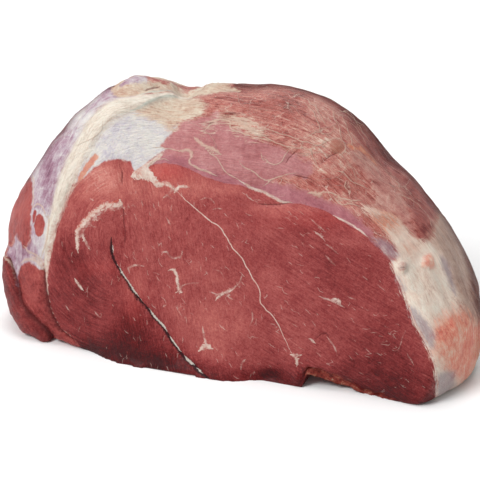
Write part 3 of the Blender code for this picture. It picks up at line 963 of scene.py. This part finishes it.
def toneAndShadeOf(spots, share=1.0):
    light = np.zeros(len(skin))
    red = np.zeros(len(skin))
    for u, v, wide, tall, brighter, redder in spots:
        near = share * np.exp(-((pixels[:, 0] - u) / wide) ** 2 - ((pixels[:, 1] - v) / tall) ** 2)
        light += near * brighter
        red += near * redder
    return light, red


def keepValues(name, values):
    if values.ndim == 1:
        made = bodyMesh.attributes.new(name, "FLOAT", "POINT")
        made.data.foreach_set("value", values.astype(np.float32))
    else:
        made = bodyMesh.attributes.new(name, "FLOAT_VECTOR", "POINT")
        made.data.foreach_set("vector", values.astype(np.float32).ravel())


for name, distance in regionDistance.items():
    keepValues(name + "Edge", np.clip(distance, -30, 30))
for name, (across, outside) in laid.items():
    keepValues(name + "Across", across)
    keepValues(name + "Outside", outside)
faceShare = inside("face", 1.0)
faceToneAndShade, faceRed = toneAndShadeOf(toneAndShadeSpots)
skinToneAndShade, skinRed = toneAndShadeOf(skinToneAndShadeSpots, smooth(-0.35, -0.05, facing))
# painted shade: the cut face darker towards the floor
faceToneAndShade -= 0.4 * smooth(13, 2, skinMm[:, 2])
light = faceToneAndShade * faceShare + skinToneAndShade * (1 - faceShare)
red = faceRed * faceShare + skinRed * (1 - faceShare)
keepValues("toneAndPaintedShade", light)
keepValues("toneRed", red)
keepValues("torn", torn)
keepValues("behind", smooth(-0.15, -0.75, facing))
keepValues("towards", smooth(-0.5, -0.05, facing))
keepValues("fatWide", lineWidths(fatAndGlintPaths))
blank = np.zeros(len(skin))
keepValues("photoPlace", np.column_stack((pixels * mmPerPixel, blank)))
keepValues("girthPlace", np.column_stack((skinMm[:, 0], girthMm, blank)))
keepValues("bandPlace", np.column_stack((bandAlong, bandAcross, blank)))
keepValues("rimPlace", np.column_stack((rimAlong, rimAcross, blank)))
keepValues("steepFlow", 1 - flatShare(pixels[:, 0]))
fromLobe = pixels - np.array(lobeShape["middle"])
lobeReach = np.hypot(fromLobe[:, 0], fromLobe[:, 1]) * mmPerPixel
lobeAngle = np.arctan2(fromLobe[:, 1], -fromLobe[:, 0])
keepValues("lobePlace", np.column_stack((lobeAngle * lobeShape["turn"], lobeReach, blank)))
keepValues("lobeFlow", smooth(lobeShape["right"], lobeShape["left"], pixels[:, 0]))


# node helpers
def put(tree, kind, inputs=None, **settings):
    made = tree.nodes.new("ShaderNode" + kind)
    for key, value in settings.items():
        setattr(made, key, value)
    for key, value in (inputs or {}).items():
        if isinstance(value, bpy.types.NodeSocket):
            tree.links.new(value, made.inputs[key])
        else:
            made.inputs[key].default_value = value
    return made


# the nodes of one material
class Finish:

    def __init__(self, name):
        self.material = bpy.data.materials.new(name)
        self.material.use_nodes = True
        self.tree = self.material.node_tree
        self.tree.nodes.clear()
        self.place = put(self.tree, "TexCoord").outputs["Object"]

    def kept(self, name, vector=False):
        made = put(self.tree, "Attribute", attribute_name=name)
        return made.outputs["Vector" if vector else "Fac"]

    def calc(self, operation, a, b=0.0, c=0.0, clamp=False):
        return put(self.tree, "Math", {0: a, 1: b, 2: c}, operation=operation, use_clamp=clamp).outputs[0]

    def blend(self, amount, under, over):
        made = put(self.tree, "Mix", data_type="RGBA")
        for index, value in ((0, amount), (6, under), (7, over)):
            if isinstance(value, bpy.types.NodeSocket):
                self.tree.links.new(value, made.inputs[index])
            elif index:
                made.inputs[index].default_value = (*value, 1.0)
            else:
                made.inputs[index].default_value = value
        return made.outputs[2]

    def step(self, value, low, high, start=0.0, end=1.0):
        made = put(self.tree, "MapRange", {0: value, 1: low, 2: high, 3: start, 4: end},
                   interpolation_type="SMOOTHSTEP")
        return made.outputs[0]

    def noise(self, place, scale, detail=3.0, rough=0.55, twist=0.0):
        made = put(self.tree, "TexNoise", {"Vector": place, "Scale": scale, "Detail": detail,
                                           "Roughness": rough, "Distortion": twist})
        return made.outputs["Fac"]

    def stretched(self, place, factors, angle=0.0):
        if angle:
            place = put(self.tree, "VectorRotate", {"Vector": place, "Angle": angle},
                        rotation_type="Z_AXIS").outputs[0]
        return put(self.tree, "VectorMath", {0: place, 1: factors}, operation="MULTIPLY").outputs[0]

    # how far a point is from the borders of warped cells
    def cracks(self, place, factors, warp):
        twisted = put(self.tree, "TexNoise", {"Vector": place, "Scale": 0.11, "Detail": 4.0, "Roughness": 0.65})
        shift = put(self.tree, "VectorMath", {0: twisted.outputs["Color"], 1: (warp, warp, 0.0)},
                    operation="MULTIPLY").outputs[0]
        moved = put(self.tree, "VectorMath", {0: self.stretched(place, factors), 1: shift},
                    operation="ADD").outputs[0]
        return put(self.tree, "TexVoronoi", {"Vector": moved, "Scale": 1.0}, feature="DISTANCE_TO_EDGE",
                   voronoi_dimensions="2D").outputs["Distance"]

    # a thin line where the value passes a level
    def contour(self, value, level, half):
        gap = self.calc("ABSOLUTE", self.calc("SUBTRACT", value, level))
        return self.step(gap, 0.0, half, 1.0, 0.0)

    def region(self, name, ragged, softness, texture):
        edge = self.kept(name + "Edge")
        moved = self.calc("ADD", edge, self.calc("MULTIPLY", self.calc("SUBTRACT", texture, 0.5), ragged))
        return self.step(moved, -softness, softness)

    def line(self, name, ragged, softness, texture, limit=1.0):
        across = self.calc("ABSOLUTE", self.kept(name + "Across"))
        moved = self.calc("ADD", across, self.calc("MULTIPLY", self.calc("SUBTRACT", texture, 0.5), ragged))
        near = self.step(self.kept(name + "Outside"), 0.5, 0.6 + limit * 0.6, 1.0, 0.0)
        return self.calc("MULTIPLY", self.step(moved, 1 - softness, 1 + softness, 1.0, 0.0), near)

    def part(self, mask, share):
        return self.calc("MULTIPLY", mask, share)

    # paint over what lies below
    def lay(self, mask, over, share=1.0):
        self.colour = self.blend(self.part(mask, share) if share < 1 else mask, self.colour, over)

    # textures added round a half
    def mixed(self, *shares):
        total = 0.5
        for texture, share in shares:
            total = self.calc("MULTIPLY_ADD", self.calc("SUBTRACT", texture, 0.5), share, total)
        return total

    def ramp(self, name, value, light=None):
        # the painted light and shade, mixed with tone, lighten or darken the ramp
        if light is not None:
            value = self.calc("ADD", value, self.calc("MULTIPLY", light, 0.6))
        made = put(self.tree, "ValToRGB", {0: value})
        stops = made.color_ramp.elements
        while len(stops) < len(ramps[name]):
            stops.new(0.5)
        for stop, (place, red, green, blue) in zip(stops, ramps[name]):
            stop.position = place
            stop.color = (*shade(red, green, blue), 1.0)
        return made.outputs[0]


# a colour as the photograph shows it, made linear
def shade(red, green, blue, gain=0.8):
    linear = [c / 255 / 12.92 if c / 255 <= 0.04045 else ((c / 255 + 0.055) / 1.055) ** 2.4
              for c in (red, green, blue)]
    return tuple(min(1.0, c * gain) for c in linear)


ramps = {  # from the darkest to the palest, as the photograph shows them
    "muscle": ((0.0, 62, 0, 5), (0.2, 104, 12, 16), (0.4, 146, 53, 53), (0.55, 170, 79, 76), (0.75, 198, 110, 101),
               (1.0, 226, 158, 144)),
    "side": ((0.0, 84, 16, 20), (0.3, 134, 42, 42), (0.55, 176, 78, 74), (0.8, 196, 104, 96), (1.0, 214, 146, 138)),
    "right": ((0.0, 70, 16, 18), (0.35, 138, 62, 60), (0.6, 180, 106, 98), (0.8, 206, 142, 132),
              (1.0, 224, 180, 166)),
    # painted shade along the outlines
    "rim": ((0.0, 40, 8, 10), (0.4, 84, 34, 36), (0.7, 122, 68, 64), (1.0, 174, 130, 120)),
    "veil": ((0.0, 88, 28, 28), (0.26, 156, 74, 66), (0.47, 194, 112, 102), (0.66, 210, 144, 130),
             (0.86, 230, 190, 170), (1.0, 240, 220, 202)),
    "back": ((0.0, 70, 20, 24), (0.3, 118, 44, 46), (0.5, 150, 70, 68), (0.7, 178, 102, 96), (0.88, 206, 152, 142),
             (1.0, 226, 194, 180)),
    "sheet": ((0.0, 150, 96, 104), (0.35, 184, 142, 144), (0.65, 208, 182, 178), (1.0, 232, 218, 208)),
    "purple": ((0.0, 144, 72, 76), (0.35, 182, 111, 112), (0.6, 200, 134, 134), (0.8, 212, 156, 152),
               (1.0, 228, 192, 184)),
    "violet": ((0.0, 132, 62, 78), (0.4, 172, 98, 110), (0.7, 194, 124, 132), (1.0, 216, 170, 168)),
    "mauve": ((0.0, 146, 76, 72), (0.4, 198, 136, 126), (0.7, 220, 172, 158), (1.0, 236, 208, 192)),
    "leftVeil": ((0.0, 112, 66, 86), (0.28, 166, 122, 142), (0.48, 196, 170, 182), (0.68, 220, 210, 212),
                 (1.0, 240, 236, 228)),
    "greyVeil": ((0.0, 100, 60, 52), (0.35, 152, 108, 94), (0.6, 182, 142, 126), (0.8, 202, 166, 150),
                 (1.0, 220, 196, 180)),
    "silver": ((0.0, 178, 160, 178), (0.3, 208, 200, 208), (0.55, 226, 220, 216), (0.8, 236, 230, 220),
               (1.0, 246, 242, 232)),
    "tendon": ((0.0, 184, 150, 136), (0.3, 218, 200, 184), (0.55, 240, 228, 212), (1.0, 254, 249, 238)),
    "beige": ((0.0, 172, 112, 98), (0.32, 208, 172, 150), (0.6, 228, 208, 186), (1.0, 242, 232, 214)),
    "green": ((0.0, 170, 172, 160), (0.5, 206, 212, 200), (1.0, 226, 232, 224)),
    "fascia": ((0.0, 150, 96, 90), (0.2, 200, 158, 142), (0.42, 244, 220, 202), (0.7, 252, 240, 224),
               (1.0, 255, 250, 240)),
    "pink": ((0.0, 214, 72, 56), (0.35, 246, 126, 100), (0.6, 252, 172, 144), (0.85, 252, 206, 182),
             (1.0, 252, 228, 208)),
    "blue": ((0.0, 118, 90, 112), (0.5, 154, 136, 152), (1.0, 198, 186, 190)),
    "fat": ((0.0, 196, 122, 108), (0.3, 216, 174, 160), (0.6, 230, 208, 194), (1.0, 246, 232, 220)),
    "orange": ((0.0, 204, 92, 66), (0.5, 222, 136, 104), (1.0, 236, 182, 150)),
    "torn": ((0.0, 70, 12, 12), (0.4, 134, 46, 38), (0.62, 160, 70, 56), (0.8, 174, 108, 88), (1.0, 206, 182, 158)),
}
paints = {  # single colours
    "redMeat": (204, 62, 54),
    "paleFleck": (212, 134, 120),
    "redVeil": (186, 78, 66),
    "veilStreak": (232, 206, 188),
    "veilHair": (228, 198, 180),
    "veilWeb": (232, 206, 190),
    "veilFine": (226, 196, 180),
    "purpleFine": (224, 184, 172),
    "mauveFine": (224, 198, 184),
    "leftFine": (240, 230, 226),
    "fasciaPale": (252, 244, 232),
    "fasciaDark": (180, 140, 128),
    "fasciaWarm": (222, 132, 100),
    "backWeb": (224, 196, 182),
    "backFine": (214, 178, 166),
    "roundPatch": (178, 104, 84),
    "arcEdge": (216, 104, 78),
    "thread": (226, 196, 178),
    "vein": (222, 192, 172),
    # painted shade in the creases
    "crease": (104, 30, 32),
    # painted shadow in the crack
    "crack": (56, 10, 16),
    # painted shade in the pad's crease
    "shadedPadCrease": (84, 20, 22),
    "crackSilver": (222, 212, 200),
}
gloss = {"roughness": (0.34, 0.5), "coat": 0.04, "coatRoughness": 0.25, "specular": 0.2, "rimSpecular": 0.03}
soften = {"weight": 0.06, "scale": 0.0012, "radius": (1.0, 0.35, 0.25)}  # light that goes into the meat
reliefPaint = {"strength": 1.0, "distance": 0.0007}


def paint(name):
    return shade(*paints[name])


def meatFinish():
    f = Finish("rawMeat")
    wide = f.noise(f.place, 16, 2)
    patch = f.noise(f.place, 60, 4, 0.6)
    small = f.noise(f.place, 230, 4, 0.62)
    grain = f.noise(f.place, 820, 3, 0.7)
    gate = f.noise(f.place, 105, 3, 0.6)
    speck = f.noise(f.place, 1900, 2, 0.6)
    photoPlace = f.kept("photoPlace", True)
    girthPlace = f.kept("girthPlace", True)
    bandPlace = f.kept("bandPlace", True)
    rimPlace = f.kept("rimPlace", True)
    steep, flat = (-math.radians(faceFibres[name]) for name in ("steep", "flat"))
    steepFibre = f.noise(f.stretched(photoPlace, (0.14, 1.25, 1.0), steep), 1.0, 4, 0.66, 0.5)
    flatFibre = f.noise(f.stretched(photoPlace, (0.12, 1.1, 1.0), flat), 1.0, 4, 0.66, 0.6)
    lobeFibre = f.noise(f.stretched(f.kept("lobePlace", True), (0.10, 1.0, 1.0)), 1.0, 4, 0.66, 0.5)
    fibre = put(f.tree, "Mix", {0: f.kept("steepFlow"), 2: flatFibre, 3: steepFibre}).outputs[0]
    fibre = put(f.tree, "Mix", {0: f.kept("lobeFlow"), 2: fibre, 3: lobeFibre}).outputs[0]
    girthStreak = f.noise(f.stretched(girthPlace, (0.045, 0.42, 1.0)), 1.0, 5, 0.66, 0.9)
    girthFine = f.noise(f.stretched(girthPlace, (0.12, 1.2, 1.0)), 1.0, 4, 0.68, 1.2)
    bandStreak = f.noise(f.stretched(bandPlace, (0.06, 0.30, 1.0)), 1.0, 5, 0.68, 1.0)
    bandFine = f.noise(f.stretched(bandPlace, (0.16, 1.3, 1.0)), 1.0, 4, 0.68, 0.9)
    rimStreak = f.noise(f.stretched(rimPlace, (0.05, 0.26, 1.0)), 1.0, 5, 0.68, 1.0)
    rimFine = f.noise(f.stretched(rimPlace, (0.14, 1.1, 1.0)), 1.0, 4, 0.68, 1.0)
    # painted light and shade mixed with the meat's own tone
    light = f.kept("toneAndPaintedShade")
    web = f.cracks(girthPlace, (0.07, 0.13, 1.0), 0.8)
    fineWeb = f.cracks(girthPlace, (0.20, 0.42, 1.0), 1.3)
    webLines = f.calc("MULTIPLY", f.step(web, 0.006, 0.03, 1.0, 0.0), f.step(gate, 0.44, 0.56))
    fineLines = f.calc("MULTIPLY", f.step(fineWeb, 0.008, 0.055, 1.0, 0.0), f.step(patch, 0.42, 0.58))

    muscle = f.ramp("muscle", f.mixed((fibre, 0.55), (small, 0.28), (grain, 0.4), (speck, 0.35), (patch, 0.34),
                                      (wide, 0.3)), light)
    muscle = f.blend(f.calc("MULTIPLY", f.kept("toneRed"), 0.6, clamp=True), muscle, paint("redMeat"))
    pinkFlecks = f.calc("MULTIPLY", f.step(fibre, 0.60, 0.74), f.step(grain, 0.45, 0.65))
    muscle = f.blend(f.part(pinkFlecks, 0.4), muscle, paint("paleFleck"))
    sideMeat = f.ramp("side", f.mixed((fibre, 0.6), (patch, 0.7), (small, 0.5), (grain, 0.6), (speck, 0.4)), light)
    rightMeat = f.ramp("right", f.mixed((girthFine, 1.0), (patch, 0.7), (small, 0.8)))
    veil = f.ramp("veil", f.mixed((girthStreak, 1.1), (girthFine, 1.0), (patch, 0.9), (small, 0.8), (grain, 0.7),
                                  (speck, 0.5)), light)
    veil = f.blend(f.calc("MULTIPLY", f.kept("toneRed"), 0.6, clamp=True), veil, paint("redVeil"))
    veil = f.blend(f.part(f.contour(girthStreak, 0.5, 0.009), 0.5), veil, paint("veilStreak"))
    veil = f.blend(f.part(f.contour(girthFine, 0.46, 0.012), 0.3), veil, paint("veilHair"))
    veil = f.blend(f.part(webLines, 0.6), veil, paint("veilWeb"))
    veil = f.blend(f.part(fineLines, 0.42), veil, paint("veilFine"))
    purple = f.ramp("purple", f.mixed((wide, 0.7), (patch, 0.8), (small, 0.7), (grain, 0.6), (girthFine, 0.4)), light)
    purple = f.blend(f.part(fineLines, 0.16), purple, paint("purpleFine"))
    violet = f.ramp("violet", f.mixed((patch, 0.9), (small, 0.8), (grain, 0.6)))
    mauve = f.ramp("mauve", f.mixed((girthFine, 0.9), (patch, 1.0), (small, 0.9), (grain, 0.6)))
    mauve = f.blend(f.calc("MULTIPLY", f.kept("toneRed"), 0.25, clamp=True), mauve, paint("redVeil"))
    mauve = f.blend(f.part(fineLines, 0.5), mauve, paint("mauveFine"))
    leftVeil = f.ramp("leftVeil", f.mixed((patch, 1.2), (wide, 0.7), (bandStreak, 0.8), (small, 0.6), (bandFine, 0.5),
                                          (grain, 0.4)), light)
    leftVeil = f.blend(f.part(fineLines, 0.35), leftVeil, paint("leftFine"))
    silver = f.ramp("silver", f.mixed((patch, 0.8), (bandStreak, 0.6), (bandFine, 0.8), (small, 0.7), (grain, 0.6)))
    tendon = f.ramp("tendon", f.mixed((bandStreak, 0.9), (bandFine, 1.0), (small, 0.6), (grain, 0.4)))
    beige = f.ramp("beige", f.mixed((girthFine, 1.3), (small, 0.9), (patch, 0.9), (grain, 0.5)))
    fascia = f.ramp("fascia", f.mixed((rimStreak, 0.6), (rimFine, 0.55), (patch, 0.6), (small, 0.4), (grain, 0.4)),
                    light)
    fascia = f.blend(f.part(f.contour(rimStreak, 0.5, 0.012), 0.3), fascia, paint("fasciaPale"))
    fascia = f.blend(f.part(f.contour(rimFine, 0.44, 0.016), 0.35), fascia, paint("fasciaDark"))
    warmth = f.calc("MULTIPLY", f.kept("toneRed"), f.step(rimFine, 0.4, 0.6), clamp=True)
    fascia = f.blend(warmth, fascia, paint("fasciaWarm"))
    pink = f.ramp("pink", f.mixed((rimFine, 1.5), (patch, 0.9), (small, 1.0), (grain, 0.5)))
    blue = f.ramp("blue", f.mixed((small, 1.0), (rimFine, 1.0)))
    fat = f.ramp("fat", f.mixed((small, 1.5), (grain, 1.1)))
    back = f.ramp("back", f.mixed((girthStreak, 1.2), (girthFine, 0.9), (patch, 0.8), (small, 0.7), (grain, 0.6)))
    sheet = f.ramp("sheet", f.mixed((girthFine, 1.0), (patch, 1.2), (small, 0.8), (grain, 0.5)))
    sheetPlace = f.noise(f.stretched(girthPlace, (0.016, 0.03, 1.0)), 1.0, 5, 0.62, 0.6)
    sheetPlace = f.calc("ADD", sheetPlace, f.part(f.calc("SUBTRACT", girthFine, 0.5), 0.3))
    back = f.blend(f.part(f.step(sheetPlace, 0.5, 0.66), 0.75), back, sheet)
    back = f.blend(f.part(webLines, 0.55), back, paint("backWeb"))
    back = f.blend(f.part(fineLines, 0.35), back, paint("backFine"))

    # one over the other, from the deepest up
    face = f.region("face", 2.2, 0.3, small)
    f.colour = veil
    f.lay(f.region("purple", 9.0, 1.6, small), purple)
    f.lay(f.region("palePatch", 34.0, 1.2, girthFine), beige, 0.6)
    f.lay(f.region("violet", 6.0, 1.8, small), violet, 0.72)
    f.lay(f.region("mauve", 9.0, 2.0, small), mauve, 0.85)
    f.lay(face, muscle)
    f.lay(f.region("sideMuscle", 3.0, 0.6, small), sideMeat)
    f.lay(f.region("padMuscle", 2.0, 0.4, small), sideMeat)
    f.lay(f.region("leftVeil", 5.0, 0.9, small), leftVeil)
    f.lay(f.region("fascia", 12.0, 1.2, rimFine), fascia)
    f.lay(f.region("rightMuscle", 9.0, 1.6, small), rightMeat, 0.9)
    # painted shade along the outlines, on the side towards the view; the gloss is lowered there too
    paintedRimShade = f.calc("MAXIMUM", f.region("topRimShade", 5.0, 2.2, girthFine), f.region("leftRimShade", 5.0, 2.2, girthFine))
    paintedRimShade = f.calc("MULTIPLY", paintedRimShade, f.kept("towards"))
    f.lay(f.region("greyVeil", 14.0, 3.0, rimFine),
          f.ramp("greyVeil", f.mixed((rimFine, 1.4), (patch, 0.9), (small, 0.7))), 0.72)
    f.lay(paintedRimShade, f.ramp("rim", f.mixed((girthFine, 1.2), (patch, 0.8), (small, 0.8))), 0.8)
    f.lay(f.region("pinkPatch", 26.0, 5.0, rimFine), pink, 0.85)
    for name in ("blueEdge", "blueSlip", "bluePatch", "blueFoot", "blueStreak"):
        f.lay(f.region(name, 8.0, 1.6, rimFine), blue, 0.6)
    for name in ("redWindow", "redSliver"):
        f.lay(f.region(name, 1.5, 0.4, small), sideMeat)
    f.lay(f.region("knobs", 6.0, 0.9, small), beige)
    behind = f.calc("ADD", f.kept("behind"), f.part(f.calc("SUBTRACT", patch, 0.5), 0.9))
    f.lay(f.step(behind, 0.42, 0.58), back)
    f.lay(f.region("silver", 3.0, 0.7, small), silver)
    f.lay(f.region("beige", 14.0, 1.6, girthFine), beige)
    f.lay(f.line("tendon", 2.2, 0.5, bandFine, 6.0), tendon)
    # painted highlight along the tendon
    f.lay(f.line("green", 3.0, 0.8, bandFine, 0.5), f.ramp("green", f.mixed((small, 1.5))), 0.7)
    f.lay(f.region("roundPatch", 1.5, 0.8, small), paint("roundPatch"), 0.75)
    f.lay(f.region("orangeStreak", 6.0, 0.8, small), f.ramp("orange", f.mixed((small, 1.6))), 0.75)
    f.lay(f.region("nodule", 4.0, 0.6, small), fat)
    f.lay(f.region("island", 9.0, 1.4, small), f.ramp("pink", f.mixed((small, 1.8), (grain, 0.8))), 0.7)

    f.lay(f.line("fleck", 3.0, 0.9, grain, 0.6), fat, 0.42)
    f.lay(f.region("fatNode", 3.5, 0.35, grain), fat)
    f.lay(f.region("orangeEdge", 4.0, 0.6, small), f.ramp("orange", f.mixed((small, 1.8))), 0.85)
    f.lay(f.line("arcEdge", 3.0, 0.8, grain, 0.7), paint("arcEdge"), 0.6)
    # fat lines, one of them a tiny painted glint
    fatAndGlintMask = f.calc("MULTIPLY", f.line("fat", 3.6, 0.5, grain, 0.5), f.step(f.kept("fatWide"), 0.3, 1.0, 0.38, 0.95))
    broken = f.step(f.mixed((small, 1.0), (f.kept("fatWide"), 0.12)), 0.38, 0.56, 0.3, 1.0)
    f.lay(f.calc("MULTIPLY", fatAndGlintMask, broken), fat)
    threadMask = f.line("thread", 2.5, 0.6, grain, 0.6)
    f.lay(threadMask, paint("thread"), 0.42)
    veinMask = f.line("vein", 3.8, 0.6, grain, 0.5)
    f.lay(veinMask, paint("vein"), 0.68)
    seamMask = f.line("seam", 3.0, 0.55, grain, 0.6)
    f.lay(seamMask, fat, 0.85)
    # painted shade in the creases
    f.lay(f.line("crease", 2.0, 0.6, grain, 0.6), paint("crease"), 0.7)
    f.lay(f.kept("torn"), f.ramp("torn", f.mixed((small, 2.2), (grain, 1.2))), 0.95)
    # painted shadow in the crack
    f.lay(f.line("crack", 1.4, 0.4, grain, 0.8), paint("crack"))
    # painted shade in the pad's crease
    f.lay(f.line("shadedPadCrease", 1.4, 0.9, grain, 0.8), paint("shadedPadCrease"), 0.75)
    f.lay(f.line("crackSilver", 1.6, 0.4, grain, 0.6), paint("crackSilver"))

    notFace = f.calc("SUBTRACT", 1.0, face)
    heights = f.calc("ADD", f.part(grain, 0.5), f.part(small, 1.0))
    heights = f.calc("ADD", heights, f.part(f.calc("MULTIPLY", fibre, face), 1.2))
    heights = f.calc("ADD", heights, f.part(f.calc("MULTIPLY", girthFine, notFace), 1.3))
    raisedLines = f.calc("ADD", f.calc("ADD", veinMask, threadMask), f.part(fatAndGlintMask, 0.4))
    heights = f.calc("ADD", heights, f.part(raisedLines, 0.4))
    bump = put(f.tree, "Bump", {"Strength": reliefPaint["strength"], "Distance": reliefPaint["distance"],
                                "Height": heights})
    shader = put(f.tree, "BsdfPrincipled", {
        "Base Color": f.colour, "Roughness": f.step(small, 0.3, 0.7, *gloss["roughness"]),
        "Normal": bump.outputs[0], "Subsurface Weight": soften["weight"], "Subsurface Scale": soften["scale"],
        "Subsurface Radius": soften["radius"], "Coat Weight": f.step(paintedRimShade, 0.0, 1.0, gloss["coat"], 0.0),
        "Coat Roughness": gloss["coatRoughness"],
        "Specular IOR Level": f.step(paintedRimShade, 0.0, 1.0, gloss["specular"], gloss["rimSpecular"])})
    put(f.tree, "OutputMaterial", {"Surface": shader.outputs[0]})
    return f.material


meat = bpy.data.objects.new("meatBody", bodyMesh)
bpy.context.scene.collection.objects.link(meat)
bodyMesh.materials.clear()
bodyMesh.materials.append(meatFinish())
bodyMesh.polygons.foreach_set("use_smooth", np.ones(len(quads), bool))
bodyMesh.update()
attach(meat, "root")
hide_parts("knuckle")
print("body finished")

# floor, light and camera
studio = {
    "floor": 0.9,
    "floorSize": 8.0,
    "sky": 0.4,
    "lamps": (  # name, place, size, watts
        ("keySoftbox", (-0.72, -1.25, 1.4), 0.9, 26.0),
        ("topSoftbox", (-0.1, 0.05, 1.8), 1.2, 15.0),
        ("backSoftbox", (-0.2, 1.4, 1.1), 1.2, 6.0),
    ),
}


def buildStudio():
    half = studio["floorSize"] / 2
    mesh = bpy.data.meshes.new("floor")
    mesh.from_pydata([(-half, -half, 0), (half, -half, 0), (half, half, 0), (-half, half, 0)], [], [(0, 1, 2, 3)])
    floor = bpy.data.objects.new("floor", mesh)
    bpy.context.scene.collection.objects.link(floor)
    f = Finish("paleFloor")
    value = studio["floor"]
    shader = put(f.tree, "BsdfPrincipled", {"Base Color": (value, value, value, 1.0), "Roughness": 0.7})
    put(f.tree, "OutputMaterial", {"Surface": shader.outputs[0]})
    mesh.materials.append(f.material)
    for name, place, size, watts in studio["lamps"]:
        lamp = bpy.data.lights.new(name, "AREA")
        lamp.shape = "DISK"
        lamp.size = size
        lamp.energy = watts
        holder = bpy.data.objects.new(name, lamp)
        holder.location = place
        holder.rotation_euler = (Vector(place) - Vector((0, 0, 0.06))).to_track_quat("Z", "Y").to_euler()
        bpy.context.scene.collection.objects.link(holder)
    world = bpy.data.worlds.new("paleRoom")
    world.use_nodes = True
    background = world.node_tree.nodes["Background"]
    background.inputs["Color"].default_value = (1.0, 1.0, 1.0, 1.0)
    background.inputs["Strength"].default_value = studio["sky"]
    bpy.context.scene.world = world


def buildCamera():
    camera = bpy.data.cameras.new("photoCamera")
    camera.lens = photoView["lens"]
    camera.sensor_width = photoView["sensor"]
    camera.clip_start = 0.05
    holder = bpy.data.objects.new("photoCamera", camera)
    holder.location = eye
    holder.rotation_mode = "QUATERNION"
    holder.rotation_quaternion = (-Vector(viewBack)).to_track_quat("-Z", "Y")
    bpy.context.scene.collection.objects.link(holder)
    bpy.context.scene.camera = holder


buildStudio()
buildCamera()
bpy.context.scene.view_settings.view_transform = "Standard"
print("studio ready")
